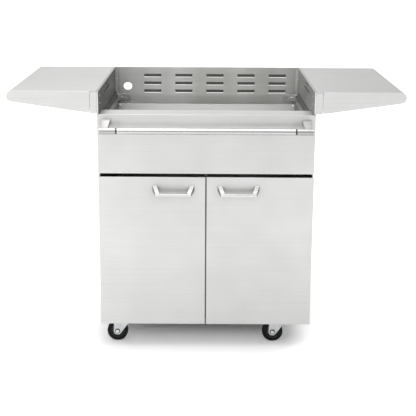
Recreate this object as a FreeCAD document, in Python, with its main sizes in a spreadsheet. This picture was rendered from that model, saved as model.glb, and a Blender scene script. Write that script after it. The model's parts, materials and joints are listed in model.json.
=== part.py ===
"""Grill cart with storage: a stainless cabinet on casters with a drawer, two doors and two side shelves.

Millimetres. X runs to the right, Y to the back and Z up, from the floor under the middle of the cart.
Places along Y are written from the front plane of the doors and drawer, and every piece stands at front_y.
"""
import FreeCAD, Part
import math
import os
import re
import Sketcher

SIZES = {
    # Cabinet
    "sheet": 1.2,
    "front_y": -309.475,
    "half_wide": 400,
    "deep": 680,
    "top_z": 993,
    "wall": 6,
    "edge_round": 1,
    "door_thick": 20,
    "wall_front": 24,
    "cheek_z": 911,
    "base_z": 106,
    "floor_z": 132,
    "base_lip": 26,
    "panel_joint_z": 666,
    # Caster channels under the floor
    "channel_mid": 302,
    "channel_half": 40,
    "channel_sheet": 2,
    # Upper back panel
    "louver_columns": 5,
    "louver_rows": 3,
    "louver_first_x": -234,
    "louver_pitch": 134.5,
    "louver_half": 38.25,
    "louver_first_z": 889.5,
    "louver_rise": 34,
    "louver_tall": 15,
    "louver_out": 9.5,
    "louver_bend": 24,
    "hem": 8,
    "hose_x": -341.5,
    "hose_z": 910,
    "hose_radius": 15.5,
    "hose_stretch": 3,
    # Rear corner angles
    "angle_leg": 12,
    "angle_side_leg": 22,
    "angle_top": 988,
    "angle_screw_drop": 52,
    # Slots in the inner walls
    "slot_mid_y": 305,
    "slot_long": 196,
    "slot_short": 74,
    "slot_tall": 4,
    "slot_lip": 3,
    "slot_low_z": 958,
    "slot_high_z": 979,
    # Front rail and centre post
    "rail_front": 30,
    "rail_back": 55,
    "rail_low": 629,
    "rail_top": 661,
    "post_half": 3.5,
    "post_top": 694,
    # Telescopic slides
    "slide_z": 867,
    "slide_front": 30,
    "slide_long": 628,
    "member_long": 585,
    "outer_half": 22.5,
    "outer_sheet": 1.5,
    "outer_reach": 10,
    "middle_half": 18.5,
    "middle_gap": 3,
    "middle_reach": 13,
    "inner_half": 14.8,
    "inner_gap": 5.4,
    "bracket_in": 331,
    "bracket_z": 861,
    "bracket_half": 14.8,
    "bracket_lap": 19,
    "bracket_slot": 3,
    "bracket_screw_in": 36.5,
    # Drawer
    "drawer_low": 686,
    "ledge_z": 908,
    "ledge_deep": 97,
    "ledge_half": 393.3,
    "ledge_turn": 12,
    "frame_lip": 26,
    "tray_half": 377,
    "tray_low": 706,
    "tray_side_z": 862,
    "tray_rear_z": 843.5,
    "tray_back": 614,
    # Bar across the drawer
    "bar_radius": 11.75,
    "bar_sheet": 1.25,
    "bar_out": 60,
    "bar_z": 857,
    "bar_half": 386.5,
    "groove_x": 325,
    "groove_half": 3,
    "plug_long": 18,
    "post_in": 351,
    "post_tip_in": 357,
    "post_out": 383,
    "post_low": 874,
    "post_high": 891,
    "post_tip_low": 849,
    "post_tip_high": 866,
    # Doors
    "door_low": 93.5,
    "door_top": 673.5,
    "door_gap": 2.25,
    "flange_low": 108,
    "flange_top": 659,
    "pin_x": 391,
    "pin_y": 9,
    "pin_radius": 3,
    "pin_long": 12,
    "running_fit": 0.05,
    "bush_half": 5,
    "bush_long": 9,
    "nose_flat": 2.5,
    "plate_thick": 2.5,
    "plate_in": 366,
    "plate_back": 50,
    # Door handles
    "handle_x": 121,
    "handle_base_half": 78,
    "handle_bar_half": 66.5,
    "handle_arm": 16,
    "handle_base_low": 621,
    "handle_base_top": 642,
    "handle_bar_z": 613,
    "handle_bar_thick": 13.5,
    "handle_out": 38,
    "handle_round": 4,
    # Magnet catches
    "catch_x": 40,
    "catch_wide": 34,
    "catch_tall": 16,
    "catch_low": 636,
    "catch_gap": 0.4,
    # Side shelves
    "rail_wide": 25,
    "rail_high": 991,
    "shelf_gap": 0.5,
    "shelf_lap": 400.5,
    "nose_radius": 20.3,
    "nose_x": 709,
    "shelf_slope": 8,
    "shelf_corner": 8,
    "pivot_x": 433.5,
    "ear_radius": 6.5,
    "ear_thick": 3,
    "ear_rise": 26,
    "ear_front": 60,
    "ear_rear": 615,
    "arm_gap": 0.5,
    "arm_reach": 520,
    "arm_top_in": 441,
    "arm_top_out": 500,
    "pivot_pin_long": 8,
    # Casters, from the swivel axis
    "caster_x": 302,
    "caster_front_y": 70,
    "caster_rear_y": 605,
    "wheel_radius": 40,
    "tyre_half": 12.5,
    "trail": 40,
    "axle_radius": 4,
    "axle_head": 8,
    "axle_head_thick": 3.5,
    "fork_half": 16.4,
    "fork_sheet": 2,
    "fork_top": 95,
    "fork_cheek_radius": 15,
    "fork_slant": 54,
    "fork_left": 13,
    "ring_radius": 26,
    "ring_low": 95.5,
    "kingpin_radius": 6,
    "kingpin_head": 9,
    "kingpin_head_low": 87.5,
    "kingpin_head_top": 92.5,
    "caster_plate_thick": 3,
    "caster_plate_wide": 38,
    "caster_plate_deep": 32,
    "spacer_wide": 30,
    "spacer_deep": 16,
    # Fasteners
    "screw_radius": 4.2,
    "screw_tall": 2.2,
    "bolt_radius": 6,
    "bolt_tall": 3.5,
}

DOCUMENT = FreeCAD.newDocument("GrillCart")
SHEET = DOCUMENT.addObject("Spreadsheet::Sheet", "Sizes")
KEPT = []
WORD = re.compile(r"[a-z][a-z_]+")
UP = FreeCAD.Vector(0, 0, 1)

# Places that follow from the sizes
INNER_FACE = "(half_wide - wall)"
RAIL_OUT = "(half_wide + rail_wide)"
SHELF_IN = "(half_wide + rail_wide + shelf_gap)"
NOSE_Z = "(top_z - nose_radius)"
PIVOT_DROP = "(((nose_x - pivot_x) * sin(shelf_slope) + nose_radius - shelf_corner) / cos(shelf_slope))"
PIVOT_Z = f"({NOSE_Z} - {PIVOT_DROP})"
TUCK_X = "(nose_x + nose_radius * sin(shelf_slope))"
TUCK_Z = f"({NOSE_Z} - nose_radius * cos(shelf_slope))"
HEEL_X = "(pivot_x + shelf_corner * sin(shelf_slope))"
HEEL_Z = f"({PIVOT_Z} - shelf_corner * cos(shelf_slope))"


def fill_sheet():
    """Put every driving dimension in a cell of its own, under its own alias."""
    for row, (alias, number) in enumerate(SIZES.items(), 1):
        SHEET.set(f"A{row}", str(number))
        SHEET.setAlias(f"A{row}", alias)
    DOCUMENT.recompute()


def bound(text):
    """Return an expression with each size that it names pointed at its cell."""
    return WORD.sub(lambda word: f"Sizes.{word.group()}" if word.group() in SIZES else word.group(), text)


def value(text):
    """Return the number that an expression of sizes stands for."""
    return float(SHEET.evalExpression(bound(text)))


def rectangle(across_low, across_high, up_low, up_high):
    """Return the four corners of an upright rectangle."""
    return [(across_low, up_low), (across_high, up_low), (across_high, up_high), (across_low, up_high)]


def hexagon_points(across, up, radius):
    """Return the corners of a hexagon about a centre, anticlockwise from its right-hand one."""
    turns = [60 * corner for corner in range(6)]
    return [(f"{across} + {radius} * cos({turn})", f"{up} + {radius} * sin({turn})") for turn in turns]


def bend(start, end, radius):
    """Return the short arc between two points, anticlockwise if its radius is positive."""
    chord = end - start
    left = FreeCAD.Vector(-chord.y, chord.x, 0).normalize()
    rise = math.sqrt(max(radius ** 2 - (chord.Length / 2) ** 2, 0))
    centre = (start + end) * 0.5 + left * math.copysign(rise, radius)
    first, last = (start, end) if radius > 0 else (end, start)
    low = math.atan2(first.y - centre.y, first.x - centre.x)
    high = math.atan2(last.y - centre.y, last.x - centre.x)
    if high < low:
        high += 2 * math.pi
    return Part.ArcOfCircle(Part.Circle(centre, UP, abs(radius)), low, high)


class Piece:
    """One sub-part made as a PartDesign body, and the features that shape it."""

    def __init__(self, label, x="0", y="0", kept=True):
        self.body = DOCUMENT.addObject("PartDesign::Body", label)
        self.body.Label = label
        self.body.AllowCompound = True
        self.body.setExpression("Placement.Base.x", bound(x))
        self.body.setExpression("Placement.Base.y", bound(f"front_y + {y}"))
        if kept:
            KEPT.append(self.body)

    def sheet_on(self, name, plane, height):
        """Start a sketch parallel to one of the body's planes, at a height along +X, +Y or +Z."""
        sketch = self.body.newObject("Sketcher::SketchObject", name)
        origin = next(f for f in self.body.Origin.OriginFeatures if f.Role == plane)
        sketch.AttachmentSupport = [(origin, "")]
        sketch.MapMode = "FlatFace"
        sign = "-" if plane == "XZ_Plane" else ""
        sketch.setExpression("AttachmentOffset.Base.z", bound(f"{sign}({height})"))
        return sketch

    def draw(self, sketch, points):
        """Close an outline; a third value bends the run that leaves a point, clockwise if negative."""
        first = sketch.GeometryCount
        corners = [FreeCAD.Vector(value(point[0]), value(point[1]), 0) for point in points]
        heads = []
        for index, point in enumerate(points):
            start, end = corners[index], corners[(index + 1) % len(points)]
            radius = value(point[2]) if len(point) == 3 else 0
            sketch.addGeometry(bend(start, end, radius) if radius else Part.LineSegment(start, end))
            heads.append(2 if radius < 0 else 1)
        for index, point in enumerate(points):
            run, after = first + index, (index + 1) % len(points)
            tail = 3 - heads[index]
            sketch.addConstraint(Sketcher.Constraint("Coincident", run, tail, first + after, heads[after]))
            self.fix(sketch, "DistanceX", (run, heads[index]), corners[index].x, point[0])
            self.fix(sketch, "DistanceY", (run, heads[index]), corners[index].y, point[1])
            if len(point) == 3:
                radius = sketch.addConstraint(Sketcher.Constraint("Radius", run, abs(value(point[2]))))
                sketch.setExpression(f"Constraints[{radius}]", bound(f"abs({point[2]})"))

    def fix(self, sketch, kind, vertex, number, text):
        """Hold one coordinate of a vertex at an expression of sizes."""
        index = sketch.addConstraint(Sketcher.Constraint(kind, -1, 1, *vertex, number))
        sketch.setExpression(f"Constraints[{index}]", bound(text))

    def disc(self, sketch, centre, radius):
        """Draw a circle about a centre."""
        across, up = centre
        middle = FreeCAD.Vector(value(across), value(up), 0)
        run = sketch.addGeometry(Part.Circle(middle, UP, value(radius)))
        self.fix(sketch, "DistanceX", (run, 3), middle.x, across)
        self.fix(sketch, "DistanceY", (run, 3), middle.y, up)
        index = sketch.addConstraint(Sketcher.Constraint("Radius", run, value(radius)))
        sketch.setExpression(f"Constraints[{index}]", bound(radius))

    def extrude(self, name, kind, plane, low, high, drawn):
        """Add or cut what `drawn` sketches, between two heights along the plane's axis."""
        sketch = self.sheet_on(f"{name}Sketch", plane, high if plane == "XZ_Plane" else low)
        drawn(sketch)
        feature = self.body.newObject(f"PartDesign::{kind}", name)
        feature.Profile = sketch
        feature.Reversed = kind == "Pocket"
        feature.setExpression("Length", bound(f"({high}) - ({low})"))
        sketch.Visibility = False
        return feature

    def add(self, name, plane, points, low, high):
        """Pad an outline between two heights."""
        return self.extrude(name, "Pad", plane, low, high, lambda sketch: self.draw(sketch, points))

    def cut(self, name, plane, points, low, high):
        """Pocket an outline between two heights."""
        return self.extrude(name, "Pocket", plane, low, high, lambda sketch: self.draw(sketch, points))

    def add_disc(self, name, plane, centre, radius, low, high):
        """Pad a circle between two heights."""
        return self.extrude(name, "Pad", plane, low, high, lambda sketch: self.disc(sketch, centre, radius))

    def cut_disc(self, name, plane, centre, radius, low, high):
        """Pocket a circle between two heights."""
        return self.extrude(name, "Pocket", plane, low, high,
                            lambda sketch: self.disc(sketch, centre, radius))

    def soften(self, name, radius, chosen):
        """Round the edges whose bounding box `chosen` accepts."""
        DOCUMENT.recompute()
        base = self.body.Tip
        names = [f"Edge{index}" for index, edge in enumerate(base.Shape.Edges, 1) if chosen(edge.BoundBox)]
        if not names:
            raise RuntimeError(f"{name} finds no edge")
        feature = self.body.newObject("PartDesign::Fillet", name)
        feature.Base = (base, names)
        feature.setExpression("Radius", bound(radius))
        return feature

    def turn(self, name, plane, height, points, up):
        """Revolve an outline about a line along the plane's first axis, at a height up the plane."""
        sketch = self.sheet_on(f"{name}Sketch", plane, height)
        sketch.setExpression("AttachmentOffset.Base.y", bound(up))
        self.draw(sketch, points)
        feature = self.body.newObject("PartDesign::Revolution", name)
        feature.Profile = sketch
        feature.ReferenceAxis = (sketch, ["H_Axis"])
        feature.Angle = 360
        return feature


def in_front(box):
    """Tell whether an edge lies in the front plane."""
    return abs(box.YMin) < 0.01 and abs(box.YMax) < 0.01


def twin(piece, label):
    """Keep the left-hand mirror image of a right-hand piece."""
    mirror = DOCUMENT.addObject("Part::Mirroring", label)
    mirror.Label = label
    mirror.Source = piece.body
    mirror.Normal = (1, 0, 0)
    KEPT.append(mirror)
    return mirror


def group(label, members):
    """Keep several solids of one kind together as one sub-part."""
    compound = DOCUMENT.addObject("Part::Compound", label)
    compound.Label = label
    compound.Links = members
    KEPT.append(compound)
    return compound


def hexagon(name, x, y, z, radius, length):
    """Return a hexagonal head that starts at a point and runs along +Y."""
    solid = DOCUMENT.addObject("Part::Prism", name)
    solid.Polygon = 6
    solid.Placement.Rotation = FreeCAD.Rotation(UP, FreeCAD.Vector(0, 1, 0))
    solid.setExpression("Placement.Base.x", bound(x))
    solid.setExpression("Placement.Base.y", bound(f"front_y + {y}"))
    solid.setExpression("Placement.Base.z", bound(z))
    solid.setExpression("Circumradius", bound(radius))
    solid.setExpression("Height", bound(length))
    return solid


def side_panel():
    """Outer skin of the cabinet's side, bent in along its top and front edges."""
    panel = Piece("side_panel_right")
    skin_in = "half_wide - sheet"
    steps = [("wall_front", "base_z"), ("deep", "base_z"), ("deep", "top_z"), ("0", "top_z"),
             ("0", "cheek_z"), ("wall_front", "cheek_z")]
    panel.add("Skin", "YZ_Plane", steps, skin_in, "half_wide")
    across = (INNER_FACE, skin_in)
    panel.add("TopEdge", "XY_Plane", rectangle(*across, "0", "deep"), "top_z - sheet", "top_z")
    across = (f"{INNER_FACE} + sheet", skin_in)
    panel.add("CheekEdge", "XZ_Plane", rectangle(*across, "cheek_z", "top_z - sheet"), "0", "sheet")
    lower = rectangle(*across, "base_z", "cheek_z + sheet")
    panel.add("FrontEdge", "XZ_Plane", lower, "wall_front", "wall_front + sheet")
    panel.add("Step", "XY_Plane", rectangle(*across, "sheet", "wall_front"), "cheek_z", "cheek_z + sheet")
    twin(panel, "side_panel_left")


def inner_wall():
    """Inner wall of the cabinet's side, slotted inside the grill bay."""
    wall = Piece("inner_wall_right")
    high = "top_z - sheet"
    steps = [("wall_front", "base_z"), ("deep", "base_z"), ("deep", high), ("0", high),
             ("0", "cheek_z"), ("wall_front", "cheek_z")]
    wall.add("Skin", "YZ_Plane", steps, INNER_FACE, f"{INNER_FACE} + sheet")
    slots = {"LowSlot": ("slot_long", "slot_low_z"), "HighSlot": ("slot_short", "slot_high_z")}
    for name, (long, low) in slots.items():
        near, far = f"slot_mid_y - {long} / 2", f"slot_mid_y + {long} / 2"
        slot = rectangle(near, far, low, f"{low} + slot_tall")
        wall.cut(name, "YZ_Plane", slot, INNER_FACE, f"{INNER_FACE} + sheet")
        lip = rectangle(f"{INNER_FACE} - slot_lip", f"{INNER_FACE} + sheet", near, far)
        wall.add(f"{name}Lip", "XY_Plane", lip, f"{low} - sheet", low)
    twin(wall, "inner_wall_left")


def back_panel_upper():
    """Louvered panel behind the grill bay, with a hem along its top and a hole for the gas hose."""
    panel = Piece("back_panel_upper")
    back = "deep + sheet"
    outline = rectangle("-half_wide", "half_wide", "panel_joint_z", "top_z")
    panel.add("Skin", "XZ_Plane", outline, "deep", back)
    hem = rectangle("-half_wide", "half_wide", back, f"{back} + hem")
    panel.add("Hem", "XY_Plane", hem, "top_z - sheet", "top_z")
    low, high = "louver_first_z - louver_tall / 2", "louver_first_z + louver_tall / 2"
    hood = [(back, low), (f"{back} + louver_out", low, "louver_bend"), (back, high)]
    left, right = "louver_first_x - louver_half", "louver_first_x + louver_half"
    raised = panel.add("Hood", "YZ_Plane", hood, left, right)
    inside = [("deep", low), (f"{back} + louver_out - sheet", low, "louver_bend - sheet"),
              (back, f"{high} - sheet"), ("deep", f"{high} - sheet")]
    opened = panel.cut("HoodInside", "YZ_Plane", inside, f"{left} + sheet", f"{right} - sheet")
    grid = panel.body.newObject("PartDesign::MultiTransform", "Louvers")
    grid.Originals = [raised, opened]
    across = panel.body.newObject("PartDesign::LinearPattern", "LouverColumns")
    across.Direction = (origin_axis(panel, "X_Axis"), [""])
    across.setExpression("Length", bound("(louver_columns - 1) * louver_pitch"))
    across.setExpression("Occurrences", bound("louver_columns"))
    upward = panel.body.newObject("PartDesign::LinearPattern", "LouverRows")
    upward.Direction = (origin_axis(panel, "Z_Axis"), [""])
    upward.setExpression("Length", bound("(louver_rows - 1) * louver_rise"))
    upward.setExpression("Occurrences", bound("louver_rows"))
    grid.Transformations = [across, upward]
    panel.body.Tip = grid
    ends = [(f"hose_x + {sign} * hose_stretch", "hose_z") for sign in (-1, 1)]
    for name, end in zip(("HoseLeft", "HoseRight"), ends):
        panel.cut_disc(name, "XZ_Plane", end, "hose_radius", "deep", back)
    middle = rectangle(ends[0][0], ends[1][0], "hose_z - hose_radius", "hose_z + hose_radius")
    panel.cut("HoseMiddle", "XZ_Plane", middle, "deep", back)


def origin_axis(piece, role):
    """Return one of a body's own axes."""
    return next(f for f in piece.body.Origin.OriginFeatures if f.Role == role)


def back_panel_lower():
    """Plain panel behind the cabinet."""
    panel = Piece("back_panel_lower")
    outline = rectangle("-half_wide", "half_wide", "base_z", "panel_joint_z")
    panel.add("Skin", "XZ_Plane", outline, "deep", "deep + sheet")


def base_pan():
    """Cabinet floor: an upturned pan with a lip inwards round its lower edge."""
    pan = Piece("base_pan")
    block = rectangle(f"-{INNER_FACE}", INNER_FACE, "wall_front", "deep")
    pan.add("Block", "XY_Plane", block, "base_z", "floor_z")
    inside = rectangle(f"-{INNER_FACE} + sheet", f"{INNER_FACE} - sheet", "wall_front + sheet",
                       "deep - sheet")
    pan.cut("Hollow", "XY_Plane", inside, "base_z + sheet", "floor_z - sheet")
    open_below = rectangle(f"-{INNER_FACE} + base_lip", f"{INNER_FACE} - base_lip",
                           "wall_front + base_lip", "deep - base_lip")
    pan.cut("Opening", "XY_Plane", open_below, "base_z", "base_z + sheet")


def caster_channel():
    """Channel under the floor that carries a front and a rear caster."""
    channel = Piece("caster_channel_right")
    left, right = "channel_mid - channel_half", "channel_mid + channel_half"
    web, high = "base_z + sheet", "floor_z - sheet"
    flanges = [(left, web), (right, web), (right, high), (f"{right} - channel_sheet", high),
               (f"{right} - channel_sheet", f"{web} + channel_sheet"),
               (f"{left} + channel_sheet", f"{web} + channel_sheet"),
               (f"{left} + channel_sheet", high), (left, high)]
    channel.add("Channel", "XZ_Plane", flanges, "wall_front + sheet", "deep - sheet")
    twin(channel, "caster_channel_left")


def rear_angle():
    """Corner angle that joins an inner wall to the back panels."""
    angle = Piece("rear_angle_right")
    wide = [(f"{INNER_FACE} - angle_leg", "deep"), (f"{INNER_FACE} - angle_leg", "deep - sheet"),
            (f"{INNER_FACE} - sheet", "deep - sheet"), (f"{INNER_FACE} - sheet", "deep - angle_side_leg"),
            (INNER_FACE, "deep - angle_side_leg"), (INNER_FACE, "deep")]
    angle.add("Angle", "XY_Plane", wide, "floor_z", "angle_top")
    twin(angle, "rear_angle_left")


def front_rail():
    """Channel across the cabinet behind the doors' top edge."""
    rail = Piece("front_rail")
    profile = [("rail_front", "rail_low"), ("rail_back", "rail_low"), ("rail_back", "rail_low + sheet"),
               ("rail_front + sheet", "rail_low + sheet"), ("rail_front + sheet", "rail_top - sheet"),
               ("rail_back", "rail_top - sheet"), ("rail_back", "rail_top"), ("rail_front", "rail_top")]
    rail.add("Channel", "YZ_Plane", profile, f"-{INNER_FACE}", INNER_FACE)


def centre_post():
    """Upright bar behind the gap between the doors."""
    post = Piece("centre_post")
    post.add("Bar", "XY_Plane", rectangle("-post_half", "post_half", "wall_front", "rail_front"),
             "floor_z", "post_top")


def channel_profile(web, lips, half, thick):
    """Return a channel's outline from its web's outer face, its lips' ends and half its height."""
    turn = f"{web} - ({thick})" if value(lips) < value(web) else f"{web} + {thick}"
    low, high = f"slide_z - {half}", f"slide_z + {half}"
    return [(web, low), (web, high), (lips, high), (lips, f"{high} - {thick}"), (turn, f"{high} - {thick}"),
            (turn, f"{low} + {thick}"), (lips, f"{low} + {thick}"), (lips, low)]


def slides():
    """Three nested members each side: on the wall, between, and on the drawer."""
    end = "slide_front + slide_long"
    outer = Piece("slide_outer_right")
    profile = channel_profile(INNER_FACE, f"{INNER_FACE} - outer_reach", "outer_half",
                              "outer_sheet")
    outer.add("Member", "XZ_Plane", profile, "slide_front", end)
    twin(outer, "slide_outer_left")
    middle = Piece("slide_middle_right")
    profile = channel_profile(f"{INNER_FACE} - middle_gap", f"{INNER_FACE} - middle_reach",
                              "middle_half", "sheet")
    middle.add("Member", "XZ_Plane", profile, "slide_front", "slide_front + member_long")
    twin(middle, "slide_middle_left")
    inner = Piece("slide_inner_right")
    profile = channel_profile("tray_half + sheet", f"{INNER_FACE} - inner_gap", "inner_half",
                              "sheet")
    inner.add("Member", "XZ_Plane", profile, "door_thick", "slide_front + member_long")
    twin(inner, "slide_inner_left")


def slide_bracket():
    """Slotted bracket that ties a slide's rear end to the back panel."""
    bracket = Piece("slide_bracket_right")
    low, high = "bracket_z - bracket_half", "bracket_z + bracket_half"
    leg_out = f"{INNER_FACE} - outer_sheet"
    step = "deep - sheet"
    profile = [("bracket_in", "deep"), ("bracket_in", "deep - outer_sheet"),
               (f"{INNER_FACE} - bracket_lap - outer_sheet", "deep - outer_sheet"),
               (f"{INNER_FACE} - bracket_lap - outer_sheet", f"{step} - outer_sheet"),
               (f"{leg_out} - outer_sheet", f"{step} - outer_sheet"),
               (f"{leg_out} - outer_sheet", "slide_front + member_long + bracket_lap"),
               (leg_out, "slide_front + member_long + bracket_lap"), (leg_out, step),
               (f"{INNER_FACE} - angle_leg", step), (f"{INNER_FACE} - angle_leg", "deep")]
    bracket.add("Angle", "XY_Plane", profile, low, high)
    slot = rectangle("bracket_in + bracket_lap / 2", "bracket_in + bracket_lap",
                     "bracket_z - bracket_slot", "bracket_z + bracket_slot")
    bracket.cut("Slot", "XZ_Plane", slot, "deep - outer_sheet", "deep")
    twin(bracket, "slide_bracket_left")


def drawer_front():
    """Full-width drawer front: a pan with a deep ledge along its top and a lip round its back."""
    front = Piece("drawer_front")
    outline = rectangle("-half_wide", "half_wide", "drawer_low", "ledge_z")
    front.add("Block", "XZ_Plane", outline, "0", "door_thick")
    front.soften("FrontEdges", "edge_round", in_front)
    ledge = rectangle("-ledge_half", "ledge_half", "door_thick", "ledge_deep")
    front.add("Ledge", "XY_Plane", ledge, "ledge_z - sheet", "ledge_z")
    turned = rectangle("-ledge_half", "ledge_half", "ledge_z - ledge_turn", "ledge_z")
    front.add("LedgeTurn", "XZ_Plane", turned, "ledge_deep - sheet", "ledge_deep")
    inside = rectangle("-half_wide + sheet", "half_wide - sheet", "drawer_low + sheet", "ledge_z - sheet")
    front.cut("Hollow", "XZ_Plane", inside, "sheet", "door_thick - sheet")
    window = rectangle("-half_wide + frame_lip", "half_wide - frame_lip", "drawer_low + frame_lip",
                       "ledge_z - frame_lip")
    front.cut("Window", "XZ_Plane", window, "door_thick - sheet", "door_thick")


def drawer_tray():
    """Open tray behind the drawer front, with a lower rear wall."""
    tray = Piece("drawer_tray")
    wide = "tray_half + sheet"
    block = rectangle(f"-({wide})", wide, "door_thick", "tray_back + sheet")
    tray.add("Block", "XY_Plane", block, "tray_low", "tray_side_z")
    inside = rectangle("-tray_half", "tray_half", "door_thick + sheet", "tray_back")
    tray.cut("Inside", "XY_Plane", inside, "tray_low + sheet", "tray_side_z")
    step = rectangle("-tray_half", "tray_half", "tray_rear_z", "tray_side_z")
    tray.cut("RearStep", "XZ_Plane", step, "tray_back", "tray_back + sheet")


def bar():
    """Round tube across the drawer between two cast brackets, each plugged into it past a groove."""
    tube = Piece("bar_tube")
    centre = ("-bar_out", "bar_z")
    end = "groove_x - groove_half"
    tube.add_disc("Tube", "YZ_Plane", centre, "bar_radius", f"-({end})", end)
    tube.cut_disc("Bore", "YZ_Plane", centre, "bar_radius - bar_sheet", f"-({end})", end)
    bracket = Piece("bar_bracket_right")
    arm = [("0", "post_low"), ("0", "post_high"), ("-bar_out", "post_tip_high"),
           ("-bar_out", "post_tip_low")]
    bracket.add("Post", "YZ_Plane", arm, "post_in", "post_out")
    slant = [("post_in", "0"), ("post_in", "-bar_out"), ("post_tip_in", "-bar_out")]
    bracket.cut("PostSlant", "XY_Plane", slant, "post_tip_low", "post_high")
    bracket.add_disc("End", "YZ_Plane", centre, "bar_radius", "groove_x + groove_half", "bar_half")
    bracket.add_disc("Plug", "YZ_Plane", centre, "bar_radius - bar_sheet", f"{end} - plug_long",
                     "groove_x + groove_half")
    twin(bracket, "bar_bracket_left")


def door():
    """Door skin with its side returns, the liner behind it, its handle and its two square bushes."""
    skin = Piece("door_skin_right")
    front = rectangle("door_gap", "half_wide", "door_low", "door_top")
    skin.add("Front", "XZ_Plane", front, "0", "sheet")
    back = "door_thick - sheet"
    returns = rectangle("door_gap", "half_wide", "flange_low", "flange_top")
    skin.add("Returns", "XZ_Plane", returns, "sheet", back)
    skin.soften("FrontEdges", "edge_round", in_front)
    inside = rectangle("door_gap + sheet", "half_wide - sheet", "flange_low + sheet",
                       "flange_top - sheet")
    skin.cut("Hollow", "XZ_Plane", inside, "sheet", back)
    socket = rectangle("pin_x - bush_half", "pin_x + bush_half", "pin_y - bush_half",
                       "pin_y + bush_half")
    skin.cut("BushHoles", "XY_Plane", socket, "flange_low", "flange_top")
    twin(skin, "door_skin_left")
    liner = Piece("door_liner_right")
    liner.add("Skin", "XZ_Plane", returns, back, "door_thick")
    twin(liner, "door_liner_left")
    bushes = Piece("hinge_bushes_right")
    bushes.add("LowBush", "XY_Plane", socket, "flange_low", "flange_low + bush_long")
    bushes.add("HighBush", "XY_Plane", socket, "flange_top - bush_long", "flange_top")
    pivot = ("pin_x", "pin_y")
    bushes.cut_disc("Bores", "XY_Plane", pivot, "pin_radius + running_fit", "flange_low", "flange_top")
    twin(bushes, "hinge_bushes_left")
    door_handle()


def door_handle():
    """Bar handle on two arms that lean down and in from the door to the bar."""
    handle = Piece("door_handle_right")
    thick = "handle_bar_thick / 2"
    low, high = f"handle_bar_z - {thick}", f"handle_bar_z + {thick}"
    lean = [("0", "handle_base_low"), ("0", "handle_base_top"), ("-handle_out", high), ("-handle_out", low)]
    handle.add("Arms", "YZ_Plane", lean, "handle_x - handle_base_half", "handle_x + handle_base_half")
    base, tip = "(handle_base_half - handle_arm)", "(handle_bar_half - handle_arm)"
    between = [(f"handle_x - {base}", "0"), (f"handle_x + {base}", "0"),
               (f"handle_x + {tip}", "-handle_out"), (f"handle_x - {tip}", "-handle_out")]
    handle.cut("FingerRoom", "XY_Plane", between, low, "handle_base_top")
    for name, sign in (("LeftSlant", "-"), ("RightSlant", "+")):
        wide, narrow = f"handle_x {sign} handle_base_half", f"handle_x {sign} handle_bar_half"
        slant = [(wide, "0"), (wide, "-handle_out"), (narrow, "-handle_out")]
        handle.cut(name, "XY_Plane", slant, low, "handle_base_top")
    section = rectangle(f"-handle_out - {thick}", f"-handle_out + {thick}", low, high)
    handle.add("Bar", "YZ_Plane", section, "handle_x - handle_bar_half", "handle_x + handle_bar_half")
    front = -value("handle_out + handle_bar_thick / 2")
    handle.soften("BarEdges", "handle_round",
                  lambda box: box.YMax < front + 0.01 and box.XLength > box.ZLength)
    twin(handle, "door_handle_left")


def hinge_brackets():
    """Plates above and below each door, each with a pin that the door turns on."""
    plates = Piece("hinge_brackets_right", kept=False)
    inner, outer, nose = "pin_x - bush_half", "pin_x + bush_half", "pin_y - bush_half"
    shape = [(inner, "pin_y"), ("pin_x - nose_flat", nose), ("pin_x + nose_flat", nose), (outer, "pin_y"),
             (outer, "wall_front - catch_gap"), (INNER_FACE, "wall_front - catch_gap"),
             (INNER_FACE, "plate_back"), ("plate_in", "plate_back"), ("plate_in", "rail_front"),
             (inner, "wall_front")]
    pivot = ("pin_x", "pin_y")
    plates.add("TopPlate", "XY_Plane", shape, "rail_top", "rail_top + plate_thick")
    plates.add_disc("TopPin", "XY_Plane", pivot, "pin_radius", "rail_top - pin_long", "rail_top")
    plates.add("BasePlate", "XY_Plane", shape, "base_z - plate_thick", "base_z")
    plates.add_disc("BasePin", "XY_Plane", pivot, "pin_radius", "base_z", "base_z + pin_long")
    mirror = DOCUMENT.addObject("Part::Mirroring", "hinge_brackets_left")
    mirror.Source = plates.body
    mirror.Normal = (1, 0, 0)
    group("hinge_brackets", [plates.body, mirror])


def door_catches():
    """Magnet blocks on the front rail that hold the doors shut."""
    catch = Piece("door_catch_right", kept=False)
    face = rectangle("catch_x", "catch_x + catch_wide", "catch_low", "catch_low + catch_tall")
    catch.add("Block", "XZ_Plane", face, "door_thick + catch_gap", "rail_front")
    mirror = DOCUMENT.addObject("Part::Mirroring", "door_catch_left")
    mirror.Source = catch.body
    mirror.Normal = (1, 0, 0)
    group("door_catches", [catch.body, mirror])


def shelf_rail():
    """Rail that a shelf folds on: a channel with end caps and two ears with pivot pins."""
    rail = Piece("shelf_rail_right")
    outline = rectangle("half_wide", RAIL_OUT, "cheek_z", "rail_high")
    rail.add("Block", "XZ_Plane", outline, "0", "deep")
    rail.soften("FrontEdges", "edge_round", in_front)
    inside = rectangle("half_wide + sheet", RAIL_OUT, "cheek_z + sheet", "rail_high - sheet")
    rail.cut("Hollow", "XZ_Plane", inside, "sheet", "deep - sheet")
    eye = hexagon_points("pivot_x", PIVOT_Z, "ear_radius")
    ear = [("half_wide + sheet", PIVOT_Z), *eye[3:], eye[0], eye[1],
           ("half_wide + sheet", f"{PIVOT_Z} + ear_rise")]
    for name, near in (("FrontEar", "ear_front"), ("RearEar", "ear_rear")):
        rail.add(name, "XZ_Plane", ear, near, f"{near} + ear_thick")
    pins = {"FrontPin": ("ear_front + ear_thick", "ear_front + pivot_pin_long"),
            "RearPin": ("ear_rear + ear_thick - pivot_pin_long", "ear_rear")}
    for name, span in pins.items():
        rail.add_disc(name, "XZ_Plane", ("pivot_x", PIVOT_Z), "pin_radius", *span)
    twin(rail, "shelf_rail_left")


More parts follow.
